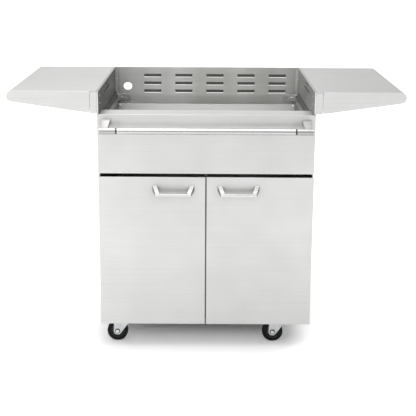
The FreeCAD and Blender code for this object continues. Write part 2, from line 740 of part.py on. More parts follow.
def arm_spans():
    """Return the two places along Y where a shelf arm stands beside an ear of the rail."""
    front = "ear_front + ear_thick + arm_gap"
    rear = "ear_rear - arm_gap - ear_thick"
    return [(front, f"{front} + ear_thick"), (rear, f"{rear} + ear_thick")]


def shelf():
    """Side shelf: a top that rolls over into a rounded nose, a bottom plate, and its two arms."""
    top = Piece("shelf_top_right")
    under = "top_z - sheet"
    skin = [(SHELF_IN, PIVOT_Z, "shelf_corner"), (HEEL_X, HEEL_Z), (TUCK_X, TUCK_Z, "nose_radius"),
            ("nose_x + nose_radius", NOSE_Z, "nose_radius"), ("nose_x", "top_z"), ("shelf_lap", "top_z"),
            ("shelf_lap", under), (SHELF_IN, under)]
    top.add("Block", "XZ_Plane", skin, "0", "deep")
    shift_x, shift_z = "sheet * sin(shelf_slope)", "sheet * cos(shelf_slope)"
    edge_x, edge_z = f"{TUCK_X} - {shift_x}", f"{TUCK_Z} + {shift_z}"
    below = f"{HEEL_Z} - shelf_corner"
    inner_nose = "nose_radius - sheet"
    inside = [(SHELF_IN, below), (TUCK_X, below), (TUCK_X, TUCK_Z), (edge_x, edge_z, inner_nose),
              (f"nose_x + {inner_nose}", NOSE_Z, inner_nose), ("nose_x", under), (SHELF_IN, under)]
    top.cut("Hollow", "XZ_Plane", inside, "sheet", "deep - sheet")
    twin(top, "shelf_top_left")
    bottom = Piece("shelf_bottom_right")
    plate = [(HEEL_X, HEEL_Z), (TUCK_X, TUCK_Z), (edge_x, edge_z),
             (f"{HEEL_X} - {shift_x}", f"{HEEL_Z} + {shift_z}")]
    bottom.add("Plate", "XZ_Plane", plate, "sheet", "deep - sheet")
    twin(bottom, "shelf_bottom_left")
    arms = Piece("shelf_arms_right")
    foot = "(pivot_x + ear_radius * sin(shelf_slope))"
    foot_z = f"({PIVOT_Z} - ear_radius * cos(shelf_slope))"
    rise = "((arm_reach - pivot_x) * tan(shelf_slope))"
    reach_z = f"({foot_z} + {rise})"
    heel = hexagon_points("pivot_x", PIVOT_Z, "ear_radius")[3:5]
    arm = [*heel, (foot, foot_z), ("arm_reach", reach_z), ("arm_top_out", under), ("arm_top_in", under)]
    for name, span in zip(("FrontArm", "RearArm"), arm_spans()):
        arms.add(name, "XZ_Plane", arm, *span)
    arms.cut_disc("PinHoles", "XZ_Plane", ("pivot_x", PIVOT_Z), "pin_radius + running_fit", "ear_front",
                  "ear_rear + ear_thick")
    twin(arms, "shelf_arms_left")


def caster_plates():
    """Four mounting plates, each with its bearing ring and kingpin."""
    plates = []
    for name, x, y in caster_places():
        plate = Piece(f"caster_plate_{name}", x, y, kept=False)
        outline = rectangle("-caster_plate_wide", "caster_plate_wide", "-caster_plate_deep",
                            "caster_plate_deep")
        low = "base_z - caster_plate_thick"
        axis = ("0", "0")
        plate.add("Plate", "XY_Plane", outline, low, "base_z")
        spacer = rectangle("-spacer_wide", "spacer_wide", "-spacer_deep", "spacer_deep")
        plate.add("Spacer", "XY_Plane", spacer, "base_z", "base_z + sheet")
        plate.add_disc("Ring", "XY_Plane", axis, "ring_radius", "ring_low", low)
        plate.add_disc("Kingpin", "XY_Plane", axis, "kingpin_radius", "kingpin_head_top", "ring_low")
        head = hexagon_points("0", "0", "kingpin_head")
        plate.add("KingpinHead", "XY_Plane", head, "kingpin_head_low", "kingpin_head_top")
        plates.append(plate.body)
    group("caster_plates", plates)


def caster_places():
    """Return the name and swivel axis of each caster."""
    sides = {"left": "-caster_x", "right": "caster_x"}
    ends = {"front": "caster_front_y", "rear": "caster_rear_y"}
    return [(f"{end}_{side}", x, y) for end, y in ends.items() for side, x in sides.items()]


def caster(name, x, y):
    """Swivelling fork with its axle bolt, and the wheel, trailing towards -X."""
    fork = Piece(f"caster_fork_{name}", x, y)
    slant = "(90 - fork_slant)"
    lean_x = f"(-trail + fork_cheek_radius * cos({slant}))"
    lean_z = f"(wheel_radius - fork_cheek_radius * sin({slant}))"
    top_x = f"({lean_x} + (fork_top - {lean_z}) / tan(fork_slant))"
    cheek = [("-trail - fork_left", "fork_top"),
             ("-trail - fork_cheek_radius", "wheel_radius", "fork_cheek_radius"),
             ("-trail", "wheel_radius - fork_cheek_radius", "fork_cheek_radius"), (lean_x, lean_z),
             (top_x, "fork_top")]
    fork.add("Cheeks", "XZ_Plane", cheek, "-fork_half", "fork_half")
    gap = rectangle("-trail - 2 * fork_cheek_radius", "ring_radius * 2", "0", "fork_top - fork_sheet")
    fork.cut("Gap", "XZ_Plane", gap, "-fork_half + fork_sheet", "fork_half - fork_sheet")
    fork.cut_disc("Bore", "XY_Plane", ("0", "0"), "kingpin_radius + running_fit",
                  "fork_top - fork_sheet", "fork_top")
    head = hexagon_points("-trail", "wheel_radius", "axle_head")
    fork.add("BoltHead", "XZ_Plane", head, "-fork_half - axle_head_thick", "-fork_half")
    fork.add("BoltNut", "XZ_Plane", head, "fork_half", "fork_half + axle_head_thick")
    inner = "fork_half - fork_sheet"
    fork.add_disc("Axle", "XZ_Plane", ("-trail", "wheel_radius"), "axle_radius", f"-({inner})", inner)
    wheel = Piece(f"caster_wheel_{name}", x, y)
    profile = rectangle("-tyre_half", "tyre_half", "axle_radius + running_fit", "wheel_radius")
    wheel.turn("Wheel", "YZ_Plane", "-trail", profile, "wheel_radius")


def fasteners():
    """Screws on the back of the grill bay and bolts at the tray's rear corners."""
    screws = []
    bolts = []
    for side, sign in (("Left", "-"), ("Right", "")):
        spot = (f"{sign}({INNER_FACE} - angle_leg / 2)", "deep - sheet - screw_tall",
                "top_z - angle_screw_drop")
        screws.append(hexagon(f"{side}AngleScrew", *spot, "screw_radius", "screw_tall"))
        spot = (f"{sign}(bracket_in + bracket_screw_in)", "deep - outer_sheet - screw_tall", "bracket_z")
        screws.append(hexagon(f"{side}BracketScrew", *spot, "screw_radius", "screw_tall"))
        spot = (f"{sign}(tray_half - bolt_radius)", "tray_back - bolt_tall", "tray_rear_z - bolt_radius")
        bolts.append(hexagon(f"{side}TrayBolt", *spot, "bolt_radius", "bolt_tall"))
    group("body_screws", screws)
    group("drawer_bolts", bolts)


def check_pieces():
    """Stop if a feature failed, a cut took nothing away or a kept shape isn't sound."""
    for item in DOCUMENT.Objects:
        if {"Invalid", "Error"} & set(item.State):
            raise RuntimeError(f"{item.Label}: {item.State}")
        if item.TypeId == "PartDesign::Pocket" and item.Shape.Volume > item.BaseFeature.Shape.Volume - 0.01:
            raise RuntimeError(f"{item.Label} of {item.getParentGeoFeatureGroup().Label} cuts nothing")
        if item.TypeId == "Sketcher::SketchObject" and not item.FullyConstrained:
            raise RuntimeError(f"{item.Label} isn't fully constrained")
    for item in KEPT:
        if item.Shape.isNull() or not item.Shape.isValid():
            raise RuntimeError(f"{item.Label} has no sound shape")


def main():
    """Build every piece and write it under its own name."""
    fill_sheet()
    side_panel()
    inner_wall()
    back_panel_upper()
    back_panel_lower()
    base_pan()
    caster_channel()
    rear_angle()
    front_rail()
    centre_post()
    slides()
    slide_bracket()
    drawer_front()
    drawer_tray()
    bar()
    door()
    hinge_brackets()
    door_catches()
    shelf_rail()
    shelf()
    caster_plates()
    for caster_place in caster_places():
        caster(*caster_place)
    fasteners()
    DOCUMENT.recompute()
    check_pieces()
    os.makedirs("parts", exist_ok=True)
    whole = FreeCAD.BoundBox()
    for item in KEPT:
        item.Shape.exportStep(f"parts/{item.Label}.step")
        whole.add(item.Shape.BoundBox)
    print(len(KEPT), "pieces,", whole)


main()
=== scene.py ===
"""Looks of the grill cart with storage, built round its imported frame.

Metres. X runs to the right, Y to the back and Z up; the origin is on the floor under the middle of the cart.
"""

import json
import logging
import math
from collections.abc import Callable, Iterable
from dataclasses import dataclass
from enum import Enum

import bmesh
import bpy
from mathutils import Matrix, Vector

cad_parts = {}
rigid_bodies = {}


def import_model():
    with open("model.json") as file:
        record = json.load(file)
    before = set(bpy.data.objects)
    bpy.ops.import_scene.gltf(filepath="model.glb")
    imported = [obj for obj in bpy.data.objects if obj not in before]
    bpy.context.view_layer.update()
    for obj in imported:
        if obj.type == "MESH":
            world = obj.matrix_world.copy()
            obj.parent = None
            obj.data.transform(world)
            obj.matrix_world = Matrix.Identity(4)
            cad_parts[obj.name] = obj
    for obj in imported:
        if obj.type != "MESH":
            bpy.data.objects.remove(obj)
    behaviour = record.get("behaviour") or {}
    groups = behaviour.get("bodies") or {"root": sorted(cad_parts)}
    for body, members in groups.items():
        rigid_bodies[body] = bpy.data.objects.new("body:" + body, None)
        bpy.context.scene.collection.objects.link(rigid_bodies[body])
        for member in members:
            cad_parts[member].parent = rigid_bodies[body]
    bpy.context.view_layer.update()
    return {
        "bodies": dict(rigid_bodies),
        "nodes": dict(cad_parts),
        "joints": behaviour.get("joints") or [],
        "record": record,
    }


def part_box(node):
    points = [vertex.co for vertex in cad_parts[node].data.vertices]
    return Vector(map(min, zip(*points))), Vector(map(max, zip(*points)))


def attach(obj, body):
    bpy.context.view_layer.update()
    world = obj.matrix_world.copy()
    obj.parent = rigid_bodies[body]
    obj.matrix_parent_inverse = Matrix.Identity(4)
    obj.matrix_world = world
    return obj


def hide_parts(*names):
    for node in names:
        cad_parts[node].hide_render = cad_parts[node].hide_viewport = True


LOG = logging.getLogger("grill_cart")
Point = tuple[float, float, float]
Colour = tuple[float, float, float]
Span = tuple[float, float]
Ramp = tuple[float, float, float, float]
Outline = tuple[Span, ...]
Shape = bmesh.types.BMesh
Edge = bmesh.types.BMEdge
Face = bmesh.types.BMFace
Node = bpy.types.Node
Socket = bpy.types.NodeSocket
Inputs = bpy.types.NodeInputs
Outputs = bpy.types.NodeOutputs

# The cabinet's front plane, which way each side lies, and where the casters' pins stand.
FRONT_Y = -0.309475
SIDES = {"left": -1, "right": 1}
ENDS = {"front": 0.070, "rear": 0.605}
CASTER_X = 0.302

# How near two points are one, how near a point is on a plane, and how squarely a face looks along an axis.
SAME_POINT = 2e-6
ON_PLANE = 1e-5
SQUARELY = 0.9

# The most that a flat face bends, and the least that a rounded edge and a creased one do.
FLAT_BEND = math.radians(0.5)
ROUNDED_BEND = math.radians(30)
CREASED_BEND = math.radians(40)

# The radius that a sheet's cut edges are rubbed to.
SHEET_EDGE = 0.0003

# A round head's outline from its foot to its recess, as shares of its radius and its height.
HEAD_OUTLINE = ((0.0, -0.1), (1.0, -0.1), (1.0, 0.35), (0.9, 0.68), (0.66, 0.92), (0.32, 1.0), (0.26, 0.72),
                (0.0, 0.72))
HEAD_CORNERS = 20

# A Mix node's sockets for its factor, its two colours and the mixed colour.
MIX_FACTOR, MIX_FIRST, MIX_SECOND, MIX_RESULT = 0, 6, 7, 2

# The part of a noise's range that most of it lies in.
NOISE_SPAN = (0.3, 0.7)
WHITE = (1.0, 1.0, 1.0)


class Grain(Enum):
    """Which way a finish's brush lines run."""

    ACROSS = "x"
    DEEP = "y"
    UP = "z"

    def scale(self, along: float, across: float) -> Point:
        """Return the texture scale that stretches noise along the brush lines."""
        return tuple(along if axis == self.value else across for axis in "xyz")

    def direction(self) -> Point:
        """Return the unit vector along the brush lines."""
        return self.scale(1.0, 0.0)


class Axis(Enum):
    """The axis that a turned piece is made about, as the matrix that brings +Z onto it."""

    X = Matrix.Rotation(math.pi / 2, 4, "Y")
    Y = Matrix.Rotation(-math.pi / 2, 4, "X")
    Z = Matrix.Identity(4)


class Wiring:
    """Adds and joins shader nodes in one tree."""

    def __init__(self, tree: bpy.types.NodeTree) -> None:
        """Start on an empty tree."""
        self.tree = tree
        tree.nodes.clear()

    def add(self, kind: str, *values: object, **settings: object) -> Node:
        """Add a node.

        Args:
            kind: The node's type name.
            values: Sockets or plain values for its first inputs, in order.
            settings: Its attributes, and with a capital letter its inputs by name.

        Returns:
            The new node.
        """
        node = self.tree.nodes.new(kind)
        for name, setting in settings.items():
            if name.islower():
                setattr(node, name, setting)
            else:
                self.feed(node.inputs[name], setting)
        for target, what in zip(node.inputs, values):
            self.feed(target, what)
        return node

    def feed(self, target: Socket, what: object) -> None:
        """Fill an input.

        Args:
            target: The input.
            what: A socket that is linked to it, or the plain value that it is set to.
        """
        if isinstance(what, Socket):
            self.tree.links.new(what, target)
        else:
            target.default_value = what

    def fill(self, inputs: Inputs, **values: object) -> None:
        """Fill a node's inputs, by name with _ for a space."""
        for name, what in values.items():
            self.feed(inputs[name.replace("_", " ")], what)

    def here(self) -> Socket:
        """Return the place on the object itself."""
        return self.add("ShaderNodeTexCoord").outputs["Object"]

    def maths(self, operation: str, *terms: object) -> Socket:
        """Add a Math node."""
        return self.add("ShaderNodeMath", *terms, operation=operation).outputs[0]

    def weigh(self, first: object, share: float, second: object) -> Socket:
        """Add two values up: the first by its share, and the second by what is left of 1."""
        rest = self.maths("MULTIPLY", second, 1.0 - share)
        return self.maths("ADD", self.maths("MULTIPLY", first, share), rest)

    def spread(self, source: object, low: float, high: float, to_low: object = 0.0,
               to_high: float = 1.0) -> Socket:
        """Map a value from one range onto another."""
        return self.add("ShaderNodeMapRange", source, low, high, to_low, to_high).outputs[0]

    def stretch(self, where: Socket, by: Socket) -> Socket:
        """Multiply a place by a vector."""
        return self.add("ShaderNodeVectorMath", where, by, operation="MULTIPLY").outputs[0]

    def noise(self, where: Socket, scale: object, detail: float) -> Socket:
        """Read a noise at a place, by how fine it is and how many finer layers it has."""
        return self.add("ShaderNodeTexNoise", Vector=where, Scale=scale, Detail=detail).outputs[0]

    def relief(self, height: Socket, depth: object) -> Socket:
        """Return the normal of a height from 0 to 1, which is so many metres deep."""
        return self.add("ShaderNodeBump", Height=height, Distance=depth).outputs[0]

    def tint(self, factor: object, first: object, second: object, blend: str = "MIX") -> Socket:
        """Add a colour Mix node.

        Args:
            factor: How much of the second colour shows.
            first: A colour, or a socket that gives one.
            second: A colour, or a socket that gives one.
            blend: How they are put together.

        Returns:
            Its colour output.
        """
        node = self.add("ShaderNodeMix", data_type="RGBA", blend_type=blend)
        self.feed(node.inputs[MIX_FACTOR], factor)
        for index, colour in ((MIX_FIRST, first), (MIX_SECOND, second)):
            self.feed(node.inputs[index], (*colour, 1.0) if isinstance(colour, tuple) else colour)
        return node.outputs[MIX_RESULT]

    def stain(self, shade: object, mask: object, strength: float, colour: Colour) -> Socket:
        """Lay a colour over a shade, where a mask is light and as strongly as is asked."""
        return self.tint(self.maths("MULTIPLY", mask, strength), shade, colour)


@dataclass(frozen=True)
class Effect:
    """A shader node group that is built once and placed in several materials."""

    name: str
    inputs: tuple[tuple[str, str, object], ...]
    outputs: tuple[tuple[str, str], ...]

    def tree(self) -> bpy.types.NodeTree:
        """Build the group the first time that it is asked for.

        Returns:
            The group.
        """
        found = bpy.data.node_groups.get(self.name)
        if found:
            return found
        tree = bpy.data.node_groups.new(self.name, "ShaderNodeTree")
        for name, kind, start in self.inputs:
            socket = tree.interface.new_socket(name, in_out="INPUT", socket_type=f"NodeSocket{kind}")
            socket.default_value = start
        for name, kind in self.outputs:
            tree.interface.new_socket(name, in_out="OUTPUT", socket_type=f"NodeSocket{kind}")
        wiring = Wiring(tree)
        start, end = wiring.add("NodeGroupInput"), wiring.add("NodeGroupOutput")
        self.wire(wiring, start.outputs, end.inputs)
        return tree

    def wire(self, wiring: Wiring, given: Outputs, made: Inputs) -> None:
        """Fill the group between its inputs and its outputs."""
        raise NotImplementedError

    def place(self, wiring: Wiring, **values: object) -> Outputs:
        """Place the group in a material, set its inputs by name and return its outputs."""
        return wiring.add("ShaderNodeGroup", node_tree=self.tree(), **values).outputs


class BrushLines(Effect):
    """Long fine scratches of a sanding belt, and the broader bands that they bunch into."""

    coarser = 0.2

    def wire(self, wiring: Wiring, given: Outputs, made: Inputs) -> None:
        """Stretch two noises along the belt, and turn the finer into relief.

        Args:
            wiring: The group's wiring.
            given: The stretch and the relief's depth.
            made: Fine lines, broad bands and the normal.
        """
        along = wiring.stretch(wiring.here(), given["Stretch"])
        fine = wiring.noise(along, 1.0, 2.0)
        broad = wiring.noise(along, self.coarser, 2.0)
        wiring.fill(made, Fine=fine, Broad=broad, Normal=wiring.relief(fine, given["Depth"]))


class Clouding(Effect):
    """Slow uneven patches, as sheet has from handling and wiping."""

    finer = 4.0
    slow_share = 0.65

    def wire(self, wiring: Wiring, given: Outputs, made: Inputs) -> None:
        """Lay a finer noise over a slow one.

        Args:
            wiring: The group's wiring.
            given: The size, as the slow noise's scale.
            made: The patches.
        """
        place = wiring.here()
        slow = wiring.noise(place, given["Size"], 2.0)
        wipes = wiring.noise(place, wiring.maths("MULTIPLY", given["Size"], self.finer), 3.0)
        wiring.fill(made, Patch=wiring.spread(wiring.weigh(slow, self.slow_share, wipes), *NOISE_SPAN))


class Sweep(Effect):
    """Broad soft bands up and down a sheet: the mask of painted reflection bands."""

    seen = (0.42, 0.68)

    def wire(self, wiring: Wiring, given: Outputs, made: Inputs) -> None:
        """Stretch a slow noise upwards."""
        slow = wiring.noise(wiring.stretch(wiring.here(), given["Stretch"]), 1.0, 1.0)
        wiring.fill(made, Sweep=wiring.spread(slow, *self.seen))


class BendMasks(Effect):
    """Masks of where a surface turns sharply: outer bends, for scuffs and painted highlights on metal, and
    inner corners and near walls, for painted shade on metal; moulded pieces take dust from both.
    """

    turned = (1.0, 0.8)
    closed_in = (0.9, 0.3)

    def wire(self, wiring: Wiring, given: Outputs, made: Inputs) -> None:
        """Compare a rounded normal with the true one, and look for near walls.

        Args:
            wiring: The group's wiring.
            given: The bends' radius, and how far away a wall is near.
            made: The mask of outer bends, and the mask of inner corners and near walls.
        """
        rounded = wiring.add("ShaderNodeBevel", samples=4, Radius=given["Radius"]).outputs[0]
        true = wiring.add("ShaderNodeNewGeometry").outputs["Normal"]
        angle = wiring.add("ShaderNodeVectorMath", rounded, true, operation="DOT_PRODUCT")
        near = wiring.add("ShaderNodeAmbientOcclusion", samples=6, only_local=False, Distance=given["Reach"])
        wiring.fill(made, Edge=wiring.spread(angle.outputs["Value"], *self.turned),
                    Crease=wiring.spread(near.outputs["AO"], *self.closed_in))


BRUSH_LINES = BrushLines("Brush lines", (("Stretch", "Vector", (1.0, 1.0, 1.0)), ("Depth", "Float", 0.0001)),
                         (("Fine", "Float"), ("Broad", "Float"), ("Normal", "Vector")))
CLOUDING = Clouding("Clouding", (("Size", "Float", 4.0),), (("Patch", "Float"),))
PAINTED_SWEEP = Sweep("Sweep", (("Stretch", "Vector", (7.0, 7.0, 0.9)),), (("Sweep", "Float"),))
BEND_MASKS = BendMasks("Bend masks", (("Radius", "Float", 0.001), ("Reach", "Float", 0.02)),
                     (("Edge", "Float"), ("Crease", "Float")))


def bare_shader(made: bpy.types.Material) -> tuple[Wiring, Node]:
    """Empty a material down to a Principled shader.

    Args:
        made: The material.

    Returns:
        Its wiring and the shader.
    """
    made.use_nodes = True
    wiring = Wiring(made.node_tree)
    shader = wiring.add("ShaderNodeBsdfPrincipled")
    wiring.add("ShaderNodeOutputMaterial", Surface=shader.outputs[0])
    return wiring, shader


@dataclass(frozen=True)
class Finish:
    """What every finish has: the record's slot, a colour and a roughness."""

    name: str
    slot: str
    colour: Colour
    roughness: float

    def material(self) -> bpy.types.Material:
        """Build the Blender material the first time that it is asked for.

        Returns:
            The material.
        """
        found = bpy.data.materials.get(self.name)
        if found:
            return found
        made = bpy.data.materials.new(self.name)
        self.dress(*bare_shader(made))
        made.diffuse_color = (*self.colour, 1.0)
        return made

    def dress(self, wiring: Wiring, shader: Node) -> None:
        """Wire the finish into its shader."""
        raise NotImplementedError


@dataclass(frozen=True)
class BrushedSteel(Finish):
    """Stainless sheet with a belt-sanded grain."""

    grain: Grain = Grain.ACROSS
    streak: float = 0.05
    depth: float = 0.00004
    patch: float = 0.05
    # Painted shade: how dark the inner corners and places near other parts are made, and within what
    # distance.
    crease_shade: float = 0.5
    reach: float = 0.03
    # Painted reflection bands: how much they lighten the sheet.
    painted_sweep: float = 0.02
    sheen: float = 0.55
    rub: float = 0.0012
    lines: Span = (4.0, 1400.0)
    fine_share: float = 0.6
    cloud_size: float = 3.0
    aged: Colour = (1.0, 1.0, 0.985)
    # Scuffs and painted highlights on the outer bends: how strong, and their colour.
    edge_scuff_and_highlight: float = 0.5
    edge_scuff_and_highlight_colour: Colour = (0.93, 0.93, 0.93)
    # The colour of the painted shade.
    crease_shade_colour: Colour = (0.12, 0.12, 0.115)
    uneven: float = 0.05
    smear: float = 0.06
    polish: float = 0.08

    def dress(self, wiring: Wiring, shader: Node) -> None:
        """Streak and cloud the colour and the roughness, lighten the outer bends as scuffs and painted
        highlights, and paint shade into the inner corners and near other parts.

        Args:
            wiring: The material's wiring.
            shader: Its shader.
        """
        lines = BRUSH_LINES.place(wiring, Stretch=self.grain.scale(*self.lines), Depth=self.depth)
        cloud = CLOUDING.place(wiring, Size=self.cloud_size)["Patch"]
        bend_masks = BEND_MASKS.place(wiring, Radius=self.rub, Reach=self.reach)
        painted_sweep = PAINTED_SWEEP.place(wiring)["Sweep"]
        streaks = wiring.spread(wiring.weigh(lines["Fine"], self.fine_share, lines["Broad"]), *NOISE_SPAN)
        bright = tuple(min(1.0, part * (1.0 + self.streak)) for part in self.colour)
        dark = tuple(part * (1.0 - self.streak) for part in self.colour)
        patched = tuple(part * (1.0 - self.patch) for part in self.aged)
        shade = wiring.tint(streaks, dark, bright)
        shade = wiring.tint(cloud, shade, wiring.tint(1.0, shade, patched, "MULTIPLY"))
        # Painted reflection: broad light bands up and down the sheet.
        shade = wiring.stain(shade, painted_sweep, self.painted_sweep, WHITE)
        # Scuffs and painted highlights on the outer bends.
        shade = wiring.stain(shade, bend_masks["Edge"], self.edge_scuff_and_highlight, self.edge_scuff_and_highlight_colour)
        # Painted shade in the inner corners and near other parts.
        shade = wiring.stain(shade, bend_masks["Crease"], self.crease_shade, self.crease_shade_colour)
        rough = wiring.spread(streaks, 0.0, 1.0, self.roughness - self.uneven, self.roughness + self.uneven)
        rough = wiring.maths("ADD", rough, wiring.maths("MULTIPLY", cloud, self.smear))
        rough = wiring.maths("ADD", rough, wiring.maths("MULTIPLY", bend_masks["Edge"], -self.polish))
        belt = wiring.add("ShaderNodeVectorTransform", self.grain.direction(), vector_type="VECTOR",
                          convert_from="OBJECT", convert_to="WORLD").outputs[0]
        wiring.fill(shader.inputs, Base_Color=shade, Roughness=rough, Metallic=1.0, Anisotropic=self.sheen,
                    Anisotropic_Rotation=0.25, Tangent=belt, Normal=lines["Normal"])


@dataclass(frozen=True)
class ZincPlate(Finish):
    """Plated steel with faint crystals and a milky film."""

    crystal: float = 0.12
    # Painted shade: how dark the inner corners are made.
    crease_shade: float = 0.7
    cells: float = 160.0
    depth: float = 0.00005
    cloud_size: float = 14.0
    milk: float = 0.25
    film: Colour = (0.55, 0.57, 0.6)
    rub: float = 0.0008
    # Scuffs and painted highlights on the outer bends: how strong, and their colour.
    edge_scuff_and_highlight: float = 0.4
    edge_scuff_and_highlight_colour: Colour = (0.9, 0.91, 0.92)
    # The reach and colour of the painted shade.
    reach: float = 0.012
    crease_shade_colour: Colour = (0.06, 0.06, 0.06)
    smear: float = 0.14

    def dress(self, wiring: Wiring, shader: Node) -> None:
        """Break the colour into crystals and cloud them, lighten the outer bends as scuffs and painted
        highlights, and paint shade into the inner corners.

        Args:
            wiring: The material's wiring.
            shader: Its shader.
        """
        cells = wiring.add("ShaderNodeTexVoronoi", feature="F1", Vector=wiring.here(), Scale=self.cells)
        tone = wiring.add("ShaderNodeSeparateColor", cells.outputs["Color"])
        cloud = CLOUDING.place(wiring, Size=self.cloud_size)["Patch"]
        bend_masks = BEND_MASKS.place(wiring, Radius=self.rub, Reach=self.reach)
        dark = tuple(part * (1.0 - self.crystal) for part in self.colour)
        shade = wiring.tint(tone.outputs["Red"], dark, self.colour)
        shade = wiring.stain(shade, cloud, self.milk, self.film)
        # Scuffs and painted highlights on the outer bends.
        shade = wiring.stain(shade, bend_masks["Edge"], self.edge_scuff_and_highlight, self.edge_scuff_and_highlight_colour)
        # Painted shade in the inner corners.
        shade = wiring.stain(shade, bend_masks["Crease"], self.crease_shade, self.crease_shade_colour)
        rough = wiring.spread(cloud, 0.0, 1.0, self.roughness, self.roughness + self.smear)
        wiring.fill(shader.inputs, Base_Color=shade, Roughness=rough, Metallic=1.0,
                    Normal=wiring.relief(tone.outputs["Green"], self.depth))


@dataclass(frozen=True)
class Moulded(Finish):
    """Rubber or plastic with a fine moulded texture and dust in its corners."""

    dust: Colour = (0.2, 0.19, 0.18)
    gloss: float = 0.5
    pebble: float = 900.0
    depth: float = 0.00008
    cloud_size: float = 18.0
    rub: float = 0.0015
    reach: float = 0.008
    dusted: tuple[float, float, float] = (0.35, 0.25, 0.3)
    smear: float = 0.15

    def dress(self, wiring: Wiring, shader: Node) -> None:
        """Pebble the surface, rub its edges lighter and leave dust in its corners.

        Args:
            wiring: The material's wiring.
            shader: Its shader.
        """
        cloud = CLOUDING.place(wiring, Size=self.cloud_size)["Patch"]
        bend_masks = BEND_MASKS.place(wiring, Radius=self.rub, Reach=self.reach)
        shade = self.colour
        for mask, strength in zip((cloud, bend_masks["Edge"], bend_masks["Crease"]), self.dusted):
            shade = wiring.stain(shade, mask, strength, self.dust)
        rough = wiring.spread(cloud, 0.0, 1.0, self.roughness, self.roughness + self.smear)
        pebbles = wiring.noise(wiring.here(), self.pebble, 2.0)
        wiring.fill(shader.inputs, Base_Color=shade, Roughness=rough, Specular_IOR_Level=self.gloss,
                    Normal=wiring.relief(pebbles, self.depth))


# The outside's sheet.
SKIN = BrushedSteel("Skin steel", "brushed_stainless", (0.755, 0.755, 0.752), 0.32, crease_shade=0.62, reach=0.05)
FASCIA = BrushedSteel("Drawer steel", "brushed_stainless", (0.745, 0.745, 0.742), 0.32, crease_shade=0.55,
                      reach=0.028)
SIDE = BrushedSteel("Side steel", "brushed_stainless", (0.76, 0.76, 0.757), 0.32, grain=Grain.DEEP)
SHELF_SKIN = BrushedSteel("Shelf steel", "brushed_stainless", (0.78, 0.78, 0.777), 0.34, crease_shade=0.15,
                          reach=0.004)
# Painted shade: a darker copy of the shelf's steel on its flat top.
SHELF_TOP_SHADE = BrushedSteel("Shelf top painted shade", "brushed_stainless", (0.67, 0.67, 0.667), 0.34, crease_shade=0.2,
                         reach=0.006)

# The bay's sheet.
BAY = BrushedSteel("Bay steel", "back_stainless", (0.75, 0.76, 0.73), 0.38, streak=0.08, crease_shade=0.92,
                   reach=0.010, painted_sweep=0.45)
ANGLE = BrushedSteel("Angle steel", "back_stainless", (0.90, 0.90, 0.885), 0.38, grain=Grain.UP, crease_shade=0.3,
                     reach=0.004)
# Painted shade: a near-black copy of the bay's steel on the louvers' hollow sides, which lie in shade.
HOOD_SHADE = BrushedSteel("Hood painted shade", "back_stainless", (0.16, 0.16, 0.155), 0.5, crease_shade=0.9, reach=0.010)
# Painted shade: two darker copies of the bay's steel, deeper on the left wall than on the right, for how the
# light falls into the bay.
WALL_SHADES = {"left": BrushedSteel("Left wall painted shade", "back_stainless", (0.18, 0.182, 0.177), 0.48,
                              grain=Grain.DEEP, crease_shade=0.6),
         "right": BrushedSteel("Right wall painted shade", "back_stainless", (0.38, 0.385, 0.375), 0.44,
                               grain=Grain.DEEP, crease_shade=0.5)}

# Sheet that is hidden at rest, and zinc plated pieces.
BACK = BrushedSteel("Back steel", "plain_steel", (0.74, 0.75, 0.72), 0.38, streak=0.08, crease_shade=0.6, painted_sweep=0.4)
TRAY = BrushedSteel("Tray steel", "plain_steel", (0.84, 0.84, 0.84), 0.46, crease_shade=0.2)
# Painted shade: a near-black copy of the tray's steel on its side walls, inside and out.
TRAY_SIDE_SHADE = BrushedSteel("Tray side painted shade", "plain_steel", (0.12, 0.12, 0.118), 0.44, grain=Grain.DEEP,
                         crease_shade=0.97, reach=0.06)
PLAIN = BrushedSteel("Mill steel", "plain_steel", (0.58, 0.585, 0.59), 0.40, streak=0.06, patch=0.12,
                     crease_shade=0.8)
CLIP = BrushedSteel("Clip steel", "zinc_steel", (0.95, 0.95, 0.935), 0.5, grain=Grain.UP, crease_shade=0.5,
                    reach=0.002)
SLIDE = BrushedSteel("Slide steel", "zinc_steel", (0.20, 0.20, 0.197), 0.36, grain=Grain.DEEP, streak=0.1,
                     crease_shade=0.85, reach=0.008, rub=0.003)
ZINC = ZincPlate("Zinc plate", "zinc_steel", (0.74, 0.75, 0.76), 0.30)
HEADS = ZincPlate("Screw heads", "screw_steel", (0.97, 0.97, 0.97), 0.30, crystal=0.02, crease_shade=0.05)

# Bright turned and cast pieces.
BRIGHT = BrushedSteel("Bar steel", "bright_stainless", (0.655, 0.655, 0.655), 0.17, streak=0.04,
                      depth=0.000006, crease_shade=0.85, reach=0.012)
GRIP = BrushedSteel("Grip steel", "bright_stainless", (0.735, 0.735, 0.73), 0.26, streak=0.03,
                    depth=0.00001, crease_shade=0.9, reach=0.006, sheen=0.2)
# Painted reflection: a near-black copy of the grip's steel on the arms' outer sides, for the dark
# surroundings that they mirror.
GRIP_SIDE_REFLECTION = BrushedSteel("Grip side painted reflection", "bright_stainless", (0.10, 0.10, 0.099), 0.2, streak=0.03,
                         depth=0.00001, crease_shade=0.9, reach=0.01, sheen=0.2)
CAST = BrushedSteel("Cast steel", "bright_stainless", (0.52, 0.517, 0.513), 0.26, streak=0.04,
                    depth=0.00002, crease_shade=0.9, reach=0.016)

# Rubber and plastic.
RUBBER = Moulded("Wheel rubber", "black_rubber", (0.005, 0.005, 0.0053), 0.6, dust=(0.015, 0.0147, 0.0144),
                 gloss=0.3)
HUB = Moulded("Wheel hub", "black_rubber", (0.035, 0.035, 0.036), 0.4, dust=(0.07, 0.07, 0.068))
NYLON = Moulded("Bush nylon", "white_nylon", (0.82, 0.82, 0.79), 0.42, dust=(0.62, 0.61, 0.57))
